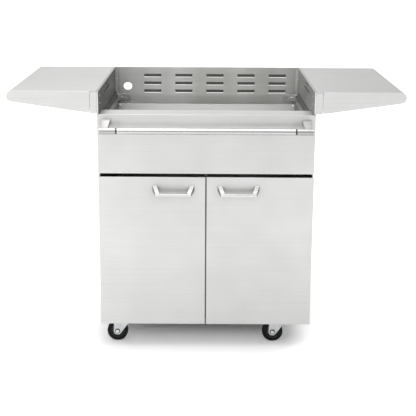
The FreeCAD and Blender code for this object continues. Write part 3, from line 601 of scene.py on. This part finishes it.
# Painted shadow: black for the washers under the axle bolts' heads, to show a dark ring round each.
SHADOW_WASHER = Moulded("Washer painted shadow", "zinc_steel", (0.02, 0.02, 0.02), 0.6, dust=(0.03, 0.03, 0.03), gloss=0.2)
MAGNET = Moulded("Magnet case", "black_magnet", (0.035, 0.035, 0.037), 0.4, dust=(0.12, 0.12, 0.12))


Inset = tuple[Finish, Callable[[Face], bool]]


def bring_in(name: str, data: bpy.types.ID) -> bpy.types.Object:
    """Link a new object to the scene.

    Args:
        name: Its name.
        data: Its mesh, light or camera.

    Returns:
        The object.
    """
    made = bpy.data.objects.new(name, data)
    bpy.context.scene.collection.objects.link(made)
    return made


class Maker:
    """Puts finished meshes into the scene on the bodies that carry them."""

    def __init__(self, frame: dict) -> None:
        """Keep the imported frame's nodes."""
        self.nodes = frame["nodes"]

    def blank(self, node: str) -> Shape:
        """Copy a node's shape with its flat triangles merged into whole faces.

        Args:
            node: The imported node.

        Returns:
            The shape.
        """
        shape = bmesh.new()
        shape.from_mesh(self.nodes[node].data)
        bmesh.ops.remove_doubles(shape, verts=shape.verts, dist=SAME_POINT)
        bmesh.ops.dissolve_limit(shape, angle_limit=FLAT_BEND, verts=shape.verts, edges=shape.edges)
        return shape

    def turn(self, shape: Shape, outline: Iterable[Span], centre: Point, axis: Axis, steps: int) -> None:
        """Turn an outline about an axis.

        Args:
            shape: The mesh that it is added to.
            outline: Points as (radius, distance along the axis); one with no radius closes an end.
            centre: Where distance 0 is.
            axis: The axis that it is turned about.
            steps: How many corners each ring has.
        """
        place = Matrix.Translation(centre) @ axis.value
        rings = []
        for radius, along in outline:
            angles = [2 * math.pi * step / steps for step in range(steps if radius else 1)]
            spots = [Vector((radius * math.cos(angle), radius * math.sin(angle), along)) for angle in angles]
            rings.append([shape.verts.new(place @ spot) for spot in spots])
        for first, second in zip(rings, rings[1:]):
            for step in range(steps):
                corners = [ring[(step + turn) % len(ring)] for ring, turn in
                           ((first, 0), (first, 1), (second, 1), (second, 0))]
                shape.faces.new(list(dict.fromkeys(corners)))
        bmesh.ops.remove_doubles(shape, verts=shape.verts, dist=SAME_POINT)

    def stud(self, shape: Shape, size: Span, foot: Point, axis: Axis, way: int = 1) -> None:
        """Set a low round head on a surface.

        Args:
            shape: The mesh that it is added to.
            size: The head's radius, and how far it stands out.
            foot: Where its middle meets the surface.
            axis: The axis that it points along.
            way: 1 or -1, for which way along that axis.
        """
        radius, tall = size
        outline = [(radius * wide, way * tall * part) for wide, part in HEAD_OUTLINE]
        self.turn(shape, outline, foot, axis, HEAD_CORNERS)

    def put(self, name: str, shape: Shape, finish: Finish, body: str = "cart", replaces: Iterable[str] = (),
            inset: Inset | None = None) -> None:
        """Finish a shape as a piece of the cart.

        Args:
            name: The piece's name.
            shape: Its mesh, which is freed.
            finish: Its finish.
            body: The body that it rides on.
            replaces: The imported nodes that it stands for.
            inset: A second finish, and the test of the faces that have it.
        """
        bmesh.ops.recalc_face_normals(shape, faces=shape.faces)
        if inset:
            for face in filter(inset[1], shape.faces):
                face.material_index = 1
        mesh = bpy.data.meshes.new(name)
        shape.to_mesh(mesh)
        shape.free()
        mesh.materials.append(finish.material())
        if inset:
            mesh.materials.append(inset[0].material())
        mesh.polygons.foreach_set("use_smooth", [True] * len(mesh.polygons))
        mesh.set_sharp_from_angle(angle=CREASED_BEND)
        piece = bring_in(name, mesh)
        weighted = piece.modifiers.new("Flat faces", "WEIGHTED_NORMAL")
        weighted.keep_sharp = True
        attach(piece, body)
        if replaces:
            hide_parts(*replaces)
        LOG.info("%s: %d faces on %s", name, len(mesh.polygons), body)

    def press(self, node: str, finish: Finish, body: str = "cart", radius: float = SHEET_EDGE, steps: int = 2,
              chosen: Callable[[Edge], bool] | None = None, inset: Inset | None = None) -> None:
        """Make a node's piece with its sharp edges rounded.

        Args:
            node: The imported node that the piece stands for.
            finish: Its finish.
            body: The body that it rides on.
            radius: The radius of the bends.
            steps: How many faces each bend has.
            chosen: Which of the sharp edges are rounded, or all of them.
            inset: A second finish, and the test of the faces that have it.
        """
        shape = self.blank(node)
        sharp = [edge for edge in shape.edges if edge.calc_face_angle(0.0) > ROUNDED_BEND]
        if chosen:
            sharp = [edge for edge in sharp if chosen(edge)]
        bmesh.ops.bevel(shape, geom=sharp, offset=radius, offset_type="OFFSET", segments=steps, profile=0.5,
                        affect="EDGES", clamp_overlap=True)
        bmesh.ops.dissolve_degenerate(shape, dist=SAME_POINT, edges=shape.edges)
        self.put(f"{node}_piece", shape, finish, body, [node], inset)


def on_head(edge: Edge) -> bool:
    """Tell whether an edge bounds the outer face of a screw's head."""
    return any(face.normal.y < -SQUARELY for face in edge.link_faces)


def on_front(edge: Edge) -> bool:
    """Tell whether an edge bounds the cart's front plane."""
    return all(abs(vert.co.y - FRONT_Y) < ON_PLANE for vert in edge.verts)


@dataclass
class SubAssembly:
    """A group of pieces, and the maker that puts them into the scene."""

    maker: Maker


@dataclass
class Cabinet(SubAssembly):
    """Side walls, back panels, floor, rail, post and corner angles.

    A screw and a rivet are given by their head's radius and height.
    """

    bend: float = 0.0008
    outside: float = 0.3999
    back: float = FRONT_Y + 0.6820
    hood_tilt: float = 0.05
    screw: Span = (0.0036, 0.0019)
    screw_foot: float = FRONT_Y + 0.6812
    half_wide: float = 0.391
    half_pitches: int = 3
    joint: float = 0.666
    margin: float = 0.013
    foot: float = 0.119
    edge_screws: tuple[float, ...] = (0.22, 0.33, 0.44, 0.55, 0.76, 0.85, 0.94)
    rivet: Span = (0.003, 0.0012)
    rivet_deep: float = FRONT_Y + 0.028
    rivet_high: Span = (0.945, 0.973)

    def build(self) -> None:
        """Press every sheet of the cabinet."""
        for side in SIDES:
            self.maker.press(f"side_panel_{side}", SIDE, "cart", self.bend, chosen=self.outer)
            # Each inner wall gets its own tone of painted shade.
            self.maker.press(f"inner_wall_{side}", WALL_SHADES[side])
            self.maker.press(f"rear_angle_{side}", ANGLE)
            self.maker.press(f"caster_channel_{side}", PLAIN)
        # The louvers' hollow sides get the painted shade.
        self.maker.press("back_panel_upper", BAY, inset=(HOOD_SHADE, self.under_hood))
        self.maker.press("back_panel_lower", BACK)
        for node in ("base_pan", "front_rail", "centre_post"):
            self.maker.press(node, PLAIN)
        self.screw_back()
        self.rivet_walls()

    def screw_back(self) -> None:
        """Set the screws that hold both back panels along their edges and their joint."""
        heads = bmesh.new()
        rows = [self.joint + self.margin, self.joint - self.margin, self.foot]
        steps = range(2 * self.half_pitches + 1)
        columns = [self.half_wide * (step / self.half_pitches - 1) for step in steps]
        spots = [(across, high) for high in rows for across in columns]
        spots += [(way * self.half_wide, high) for way in (-1, 1) for high in self.edge_screws]
        for across, high in spots:
            self.maker.stud(heads, self.screw, (across, self.screw_foot, high), Axis.Y)
        self.maker.put("back_screws", heads, HEADS)

    def rivet_walls(self) -> None:
        """Set two blind rivets near the front of each inner wall."""
        heads = bmesh.new()
        for side, way in SIDES.items():
            low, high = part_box(f"inner_wall_{side}")
            face = low[0] if way > 0 else high[0]
            for tall in self.rivet_high:
                self.maker.stud(heads, self.rivet, (face, self.rivet_deep, tall), Axis.X, -way)
        self.maker.put("wall_rivets", heads, HEADS)

    def under_hood(self, face: Face) -> bool:
        """Tell whether a face is on the hollow side of a louver."""
        return face.calc_center_median().y > self.back and face.normal.y < -self.hood_tilt

    def outer(self, edge: Edge) -> bool:
        """Tell whether an edge is on a side panel's outside."""
        return all(abs(vert.co.x) > self.outside for vert in edge.verts)


@dataclass
class SideShelf(SubAssembly):
    """One folding side shelf and the rail that carries it."""

    side: str
    bend: float = 0.0028
    rail_bend: float = 0.0007
    deep: float = 0.680
    joint_at: float = 0.42
    level: float = 0.95

    def build(self) -> None:
        """Press the rail, the top, the bottom and the arms."""
        body = f"shelf_{self.side}"
        self.maker.press(f"shelf_rail_{self.side}", SHELF_SKIN, "cart", self.rail_bend,
                         chosen=self.clear_of_shelf)
        # The flat top gets painted shade.
        self.maker.press(f"shelf_top_{self.side}", SHELF_SKIN, body, self.bend, 3, chosen=self.rim,
                         inset=(SHELF_TOP_SHADE, self.faces_up))
        self.maker.press(f"shelf_bottom_{self.side}", PLAIN, body)
        self.maker.press(f"shelf_arms_{self.side}", PLAIN, body)

    def clear_of_shelf(self, edge: Edge) -> bool:
        """Tell whether an edge of the rail isn't at the joint with the shelf."""
        return any(abs(vert.co.x) < self.joint_at for vert in edge.verts)

    def faces_up(self, face: Face) -> bool:
        """Tell whether a face is part of the flat top."""
        return face.normal.z > self.level

    def rim(self, edge: Edge) -> bool:
        """Tell whether an edge runs round the front or the back of the piece."""
        ends = (FRONT_Y, FRONT_Y + self.deep)
        return any(all(abs(vert.co.y - end) < ON_PLANE for vert in edge.verts) for end in ends)


@dataclass
class Drawer(SubAssembly):
    """Drawer front with its ledge, tray, bar and slides.

    The ring goes from its root to its waist, by depth under the bar's skin and share of its half width.
    """

    bend: float = 0.0016
    cast_edge: float = 0.0012
    dome: float = 0.0030
    bar_radius: float = 0.01175
    bar_out: float = 0.060
    bar_high: float = 0.857
    groove_at: float = 0.325
    groove_half: float = 0.0029
    ring: Outline = ((0.0028, 1.0), (0.0004, 1.0), (0.0010, 0.4))
    ring_corners: int = 48

    def build(self) -> None:
        """Press the drawer, cast its bar brackets and fold its slides."""
        self.maker.press("drawer_front", FASCIA, "drawer", self.bend, 3, chosen=on_front)
        # The tray's side walls get painted shade.
        self.maker.press("drawer_tray", TRAY, "drawer", inset=(TRAY_SIDE_SHADE, self.faces_sideways))
        self.maker.press("bar_tube", BRIGHT, "drawer")
        self.maker.press("drawer_bolts", HEADS, "drawer", self.dome, 4, chosen=on_head)
        for side in SIDES:
            self.maker.press(f"bar_bracket_{side}", CAST, "drawer", self.cast_edge, 3)
            for member, body in (("outer", "cart"), ("middle", f"slide_{side}"), ("inner", "drawer")):
                self.maker.press(f"slide_{member}_{side}", SLIDE, body)
            self.maker.press(f"slide_bracket_{side}", CLIP)
        self.ring_bar()

    def faces_sideways(self, face: Face) -> bool:
        """Tell whether a face is on one of the tray's side walls."""
        return abs(face.normal.x) > SQUARELY

    def ring_bar(self) -> None:
        """Sink a black waisted ring into each groove of the bar."""
        rings = bmesh.new()
        half = [(self.bar_radius - under, self.groove_half * share) for under, share in self.ring]
        outline = [(radius, -along) for radius, along in half] + half[::-1] + [(half[0][0], -half[0][1])]
        for way in (-1, 1):
            centre = (way * self.groove_at, FRONT_Y - self.bar_out, self.bar_high)
            self.maker.turn(rings, outline, centre, Axis.X, self.ring_corners)
        self.maker.put("bar_rings", rings, MAGNET, "drawer")


@dataclass
class Door(SubAssembly):
    """One door: skin, liner, handle and hinge bushes.

    A screw and a buffer are given by radius and height, the strike plate by half its width and height.
    """

    side: str
    bend: float = 0.0016
    cast_edge: float = 0.0022
    arm: float = 0.012
    arm_area: float = 0.00005
    screw: Span = (0.0055, 0.0028)
    buffer: Span = (0.006, 0.0015)
    buffer_across: float = 0.060
    buffer_high: Span = (0.16, 0.60)
    strike: Span = (0.0165, 0.0075)
    strike_thick: float = 0.0002
    strike_corner: float = 0.003
    strike_across: float = 0.057
    strike_high: float = 0.644

    def build(self) -> None:
        """Press the door and cast its handle."""
        body = f"door_{self.side}"
        self.maker.press(f"door_skin_{self.side}", SKIN, body, self.bend, 3, chosen=on_front)
        self.maker.press(f"door_liner_{self.side}", PLAIN, body)
        # The arms' outer sides get a painted dark reflection.
        self.maker.press(f"door_handle_{self.side}", GRIP, body, self.cast_edge, 3,
                         inset=(GRIP_SIDE_REFLECTION, self.outer_side))
        self.maker.press(f"hinge_bushes_{self.side}", NYLON, body)
        self.fit_liner(body)

    def outer_side(self, face: Face) -> bool:
        """Tell whether a face is on the outside of one of the handle's arms.

        Args:
            face: A face of the handle.

        Returns:
            Whether it is, and isn't a part of the rounding.
        """
        low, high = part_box(f"door_handle_{self.side}")
        away = face.calc_center_median().x - (low[0] + high[0]) / 2
        looks_out = face.normal.x * away > 0 and abs(face.normal.x) > SQUARELY
        return looks_out and face.calc_area() > self.arm_area

    def fit_liner(self, body: str) -> None:
        """Put the handle's screws, two buffers and the strike plate on the liner.

        Args:
            body: The door's body.
        """
        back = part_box(f"door_liner_{self.side}")[1][1]
        low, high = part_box(f"door_handle_{self.side}")
        way = SIDES[self.side]
        screws, buffers = bmesh.new(), bmesh.new()
        for across in (low[0] + self.arm, high[0] - self.arm):
            self.maker.stud(screws, self.screw, (across, back, high[2] - self.arm), Axis.Y)
        for tall in self.buffer_high:
            self.maker.stud(buffers, self.buffer, (way * self.buffer_across, back, tall), Axis.Y)
        self.maker.put(f"handle_screws_{self.side}", screws, HEADS, body)
        self.maker.put(f"door_buffers_{self.side}", buffers, RUBBER, body)
        plate = self.cut_strike((way * self.strike_across, back, self.strike_high))
        self.maker.put(f"strike_plate_{self.side}", plate, ZINC, body)

    def cut_strike(self, centre: Point) -> Shape:
        """Cut the strike plate from thin sheet, and round its corners.

        Args:
            centre: The middle of the plate.

        Returns:
            Its mesh.
        """
        plate = bmesh.new()
        wide, tall = self.strike
        sheet = Matrix.Diagonal((2 * wide, self.strike_thick, 2 * tall, 1.0))
        bmesh.ops.create_cube(plate, size=1.0, matrix=Matrix.Translation(centre) @ sheet)
        along = [edge for edge in plate.edges
                 if abs(edge.verts[0].co.y - edge.verts[1].co.y) > self.strike_thick / 2]
        bmesh.ops.bevel(plate, geom=along, offset=self.strike_corner, segments=4, profile=0.5, affect="EDGES")
        return plate


@dataclass
class Caster(SubAssembly):
    """One swivel caster: fork, axle and wheel.

    Outlines are radii, and beside each the depth under the tyre's side for the inner rim, the height over it
    for the dish, and the distance out from the fork's cheek or the bolt's head for the washer and the cap.
    """

    end: str
    side: str
    fork_edge: float = 0.0005
    trail: float = 0.040
    wheel: float = 0.040
    hollow: float = 0.00001
    tread: float = 0.0125
    shoulder: float = 0.004
    shoulder_steps: int = 6
    inner_rim: Outline = ((0.029, 0.0), (0.0275, 0.0012), (0.0262, 0.0012))
    bore: float = 0.00405
    dish: Outline = ((0.0075, 0.0005), (0.0085, -0.0005), (0.0095, -0.0045), (0.0215, -0.0055),
                     (0.0235, -0.0025), (0.0255, -0.0008), (0.0262, -0.0014))
    cheek: float = 0.0164
    bolt_head: float = 0.0035
    washer: Outline = ((0.0040, 0.0), (0.0098, 0.0), (0.0098, 0.0004), (0.0094, 0.0006), (0.0040, 0.0006),
                       (0.0040, 0.0))
    cap: Outline = ((0.0, 0.0), (0.0066, 0.0), (0.0066, 0.0005), (0.0061, 0.0008), (0.0045, 0.0008),
                    (0.0041, 0.0002), (0.0036, 0.0002), (0.0032, 0.0008), (0.0, 0.0008))
    tyre_corners: int = 64
    hub_corners: int = 48
    axle_corners: int = 32

    @property
    def name(self) -> str:
        """What its pieces and bodies are called after."""
        return f"{self.end}_{self.side}"

    @property
    def hub(self) -> Point:
        """Where the middle of the wheel is."""
        return (SIDES[self.side] * CASTER_X - self.trail, FRONT_Y + ENDS[self.end], self.wheel)

    def build(self) -> None:
        """Press the fork, mould the wheel, turn its hub and dress the axle's ends."""
        self.maker.press(f"caster_fork_{self.name}", ZINC, f"fork_{self.name}", self.fork_edge)
        self.mould_wheel()
        self.dress_axle()

    def mould_wheel(self) -> None:
        """Mould the tyre with rounded shoulders, and press a dished hub into it."""
        body = f"wheel_{self.name}"
        quarter = [math.radians(90 / self.shoulder_steps * step) for step in range(self.shoulder_steps + 1)]
        bend = [(self.wheel - self.shoulder * (1 - math.cos(angle)),
                 self.tread - self.shoulder * (1 - math.sin(angle))) for angle in quarter]
        half = [(self.wheel - self.hollow, 0.0)] + bend
        half += [(radius, self.tread - under) for radius, under in self.inner_rim]
        tyre = bmesh.new()
        self.maker.turn(tyre, self.closed(half), self.hub, Axis.Y, self.tyre_corners)
        self.maker.put(f"wheel_tyre_{self.name}", tyre, RUBBER, body, [f"caster_wheel_{self.name}"])
        half = [(self.bore, 0.0), (self.bore, self.tread + self.dish[0][1])]
        half += [(radius, self.tread + over) for radius, over in self.dish]
        hub = bmesh.new()
        self.maker.turn(hub, self.closed(half), self.hub, Axis.Y, self.hub_corners)
        self.maker.put(f"wheel_hub_{self.name}", hub, HUB, body)

    def closed(self, half: list[Span]) -> list[Span]:
        """Mirror one half of an outline, and close it across the inside."""
        outline = [(radius, -along) for radius, along in reversed(half)] + half[1:]
        return outline + [outline[0]]

    def dress_axle(self) -> None:
        """Put a black washer under each end of the axle bolt, as a painted shadow ring, and a turned face on
        it.
        """
        head = self.cheek + self.bolt_head
        for piece, outline, out, finish in (("washers", self.washer, self.cheek, SHADOW_WASHER),
                                            ("caps", self.cap, head, HEADS)):
            shape = bmesh.new()
            for way in (-1, 1):
                points = [(radius, way * (out + along)) for radius, along in outline]
                self.maker.turn(shape, points, self.hub, Axis.Y, self.axle_corners)
            self.maker.put(f"axle_{piece}_{self.name}", shape, finish, f"fork_{self.name}")


@dataclass
class Hardware(SubAssembly):
    """Hinge plates, magnet catches, caster plates and screws of the cabinet."""

    dome: float = 0.0019
    race: Outline = ((0.0258, 0.0957), (0.0270, 0.0959), (0.0276, 0.0968), (0.0277, 0.0985), (0.0272, 0.1002),
                     (0.0258, 0.1006), (0.0258, 0.0957))
    race_corners: int = 48

    def build(self) -> None:
        """Press the small pieces that the cabinet carries."""
        self.maker.press("hinge_brackets", ZINC)
        self.maker.press("caster_plates", ZINC)
        self.maker.press("door_catches", MAGNET)
        self.maker.press("body_screws", HEADS, "cart", self.dome, 4, chosen=on_head)
        races = bmesh.new()
        for across in (-CASTER_X, CASTER_X):
            for deep in ENDS.values():
                self.maker.turn(races, self.race, (across, FRONT_Y + deep, 0.0), Axis.Z, self.race_corners)
        self.maker.put("caster_races", races, ZINC)


@dataclass
class Studio:
    """Pale floor, soft lights, surroundings and the camera.

    A ramp is two places or directions, and then the strength at each. The shadow is its middle, half width
    and haste across, and then the same deep.
    """

    eye: Point = (0.0068, -3.8144, 1.5433)
    pitch: float = 12.813
    roll: float = 0.328
    lens: float = 84.35
    shift: float = -0.12
    lamp_at: Point = (-0.4, -0.2, 3.2)
    lamp_aim: Point = (0.0, 0.1, 0.9)
    lamp_size: float = 2.2
    lamp_power: float = 34.0
    suns: tuple[tuple[str, Ramp], ...] = (("Front", (30.0, -35.0, 60.0, 0.35)),
                                          ("Ceiling", (85.0, 0.0, 90.0, 0.7)))
    floor_half: float = 14.0
    floor_colour: Colour = (0.93, 0.93, 0.93)
    floor_rough: float = 0.9
    glow_left: Ramp = (-0.9, -0.1, 0.22, 0.0)
    glow_right: Ramp = (0.2, 1.0, 0.0, 0.12)
    glow_front: Ramp = (-3.0, -0.8, 0.40, 0.0)
    shadow: tuple[Point, Point] = ((-0.04, 0.27, 2.5), (0.0, 0.11, 1.0))
    paper_near: Ramp = (0.0, 0.10, 0.015, 0.24)
    paper_far: Ramp = (0.25, 0.45, 0.0, 0.34)
    room_high: Ramp = (0.0, 0.6, 0.80, 0.92)
    room_left: Ramp = (-1.0, -0.6, 0.6, 1.04)
    room_right: Ramp = (0.1, 0.9, 1.0, 0.2)
    room_front: Ramp = (-0.8, -0.4, 0.3, 1.0)
    front_band: Span = (0.25, 0.45)
    backdrop: float = 1.4

    def build(self) -> None:
        """Set up everything round the cart."""
        self.floor()
        self.surroundings()
        self.lamp()
        for name, sun in self.suns:
            self.sky(name, sun)
        self.camera()
        bpy.context.scene.view_settings.view_transform = "Standard"

    def floor(self) -> None:
        """Lay a wide pale floor with a painted glow, which lights the cart and shows white to the camera away
        from the cart.
        """
        shape = bmesh.new()
        bmesh.ops.create_grid(shape, x_segments=4, y_segments=4, size=self.floor_half)
        mesh = bpy.data.meshes.new("Floor")
        shape.to_mesh(mesh)
        shape.free()
        floor = bring_in("Floor", mesh)
        made = bpy.data.materials.new("Floor paint")
        wiring, shader = bare_shader(made)
        parts = wiring.add("ShaderNodeSeparateXYZ", wiring.here()).outputs
        seen = wiring.add("ShaderNodeMix", wiring.add("ShaderNodeLightPath").outputs["Is Camera Ray"],
                          A=self.glow(wiring, parts), B=self.paper(wiring, parts)).outputs["Result"]
        wiring.fill(shader.inputs, Base_Color=(*self.floor_colour, 1.0), Roughness=self.floor_rough,
                    Specular_IOR_Level=0.0, Emission_Color=(*WHITE, 1.0), Emission_Strength=seen)
        mesh.materials.append(made)

    def glow(self, wiring: Wiring, parts: Outputs) -> Socket:
        """Work out how strongly the floor lights the cart.

        Args:
            wiring: The floor's wiring.
            parts: The place's X, Y and Z.

        Returns:
            The strength at each place.
        """
        ramps = (("X", self.glow_left), ("X", self.glow_right), ("Y", self.glow_front))
        left, right, front = (wiring.spread(parts[axis], *ramp) for axis, ramp in ramps)
        return wiring.maths("ADD", wiring.maths("ADD", left, right), front)

    def paper(self, wiring: Wiring, parts: Outputs) -> Socket:
        """Work out how white the floor looks: less so near the cart, where its shadow shows.

        Args:
            wiring: The floor's wiring.
            parts: The place's X, Y and Z.

        Returns:
            The strength at each place.
        """
        outside = wiring.add("ShaderNodeCombineXYZ")
        for axis, (middle, half, haste) in zip("XY", self.shadow):
            beyond = wiring.maths("ABSOLUTE", wiring.maths("SUBTRACT", parts[axis], middle))
            beyond = wiring.maths("MULTIPLY", wiring.maths("SUBTRACT", beyond, half), haste)
            wiring.feed(outside.inputs[axis], wiring.maths("MAXIMUM", beyond, 0.0))
        away = wiring.add("ShaderNodeVectorMath", outside.outputs[0], operation="LENGTH").outputs["Value"]
        near, far = (wiring.spread(away, *ramp) for ramp in (self.paper_near, self.paper_far))
        return wiring.maths("ADD", near, far)

    def surroundings(self) -> None:
        """Light the room from all round, and show it white."""
        world = bpy.data.worlds.new("Room")
        bpy.context.scene.world = world
        world.use_nodes = True
        wiring = Wiring(world.node_tree)
        where = wiring.add("ShaderNodeTexCoord").outputs["Generated"]
        parts = wiring.add("ShaderNodeSeparateXYZ", where).outputs
        high = wiring.spread(parts["Z"], *self.room_high)
        front = wiring.spread(parts["Y"], *self.room_front)
        band = wiring.spread(parts["Z"], *self.front_band, front)
        left = wiring.spread(parts["X"], *self.room_left)
        sides = wiring.maths("MULTIPLY", left, wiring.spread(parts["X"], *self.room_right))
        glow = wiring.maths("MULTIPLY", wiring.maths("MULTIPLY", high, band), sides)
        room = wiring.add("ShaderNodeBackground", Strength=glow).outputs[0]
        seen = wiring.add("ShaderNodeBackground", Strength=self.backdrop).outputs[0]
        camera_ray = wiring.add("ShaderNodeLightPath").outputs["Is Camera Ray"]
        mix = wiring.add("ShaderNodeMixShader", camera_ray, room, seen).outputs[0]
        wiring.add("ShaderNodeOutputWorld", Surface=mix)

    def lamp(self) -> None:
        """Hang a soft square light over the cart."""
        data = bpy.data.lights.new("Top", "AREA")
        data.size = self.lamp_size
        data.energy = self.lamp_power
        lamp = bring_in("Top", data)
        lamp.location = self.lamp_at
        away = Vector(self.lamp_aim) - Vector(self.lamp_at)
        lamp.rotation_euler = away.to_track_quat("-Z", "Y").to_euler()
        lamp.visible_camera = False

    def sky(self, name: str, sun: Ramp) -> None:
        """Light everything evenly from one wide patch of the room.

        Args:
            name: The light's name.
            sun: Its height, its turn to the right and its spread, in degrees, and its power.
        """
        height, turn, spread, power = sun
        data = bpy.data.lights.new(name, "SUN")
        data.energy = power
        data.angle = math.radians(spread)
        bring_in(name, data).rotation_euler = (math.radians(90 - height), 0.0, math.radians(turn))

    def camera(self) -> None:
        """Stand the camera where the photograph was taken from."""
        data = bpy.data.cameras.new("Camera")
        data.lens = self.lens
        data.shift_y = self.shift
        camera = bring_in("Camera", data)
        tilt = math.radians(90 - self.pitch)
        turned = Matrix.Rotation(tilt, 4, "X") @ Matrix.Rotation(math.radians(self.roll), 4, "Z")
        camera.matrix_world = Matrix.Translation(self.eye) @ turned
        bpy.context.scene.camera = camera


def main() -> None:
    """Build the cart's looks, piece by piece."""
    logging.basicConfig(level=logging.INFO, format="%(message)s")
    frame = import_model()
    maker = Maker(frame)
    Cabinet(maker).build()
    for side in SIDES:
        SideShelf(maker, side).build()
        Door(maker, side).build()
        for end in ENDS:
            Caster(maker, end, side).build()
    Drawer(maker).build()
    Hardware(maker).build()
    Studio().build()


if __name__ == "__main__":
    main()
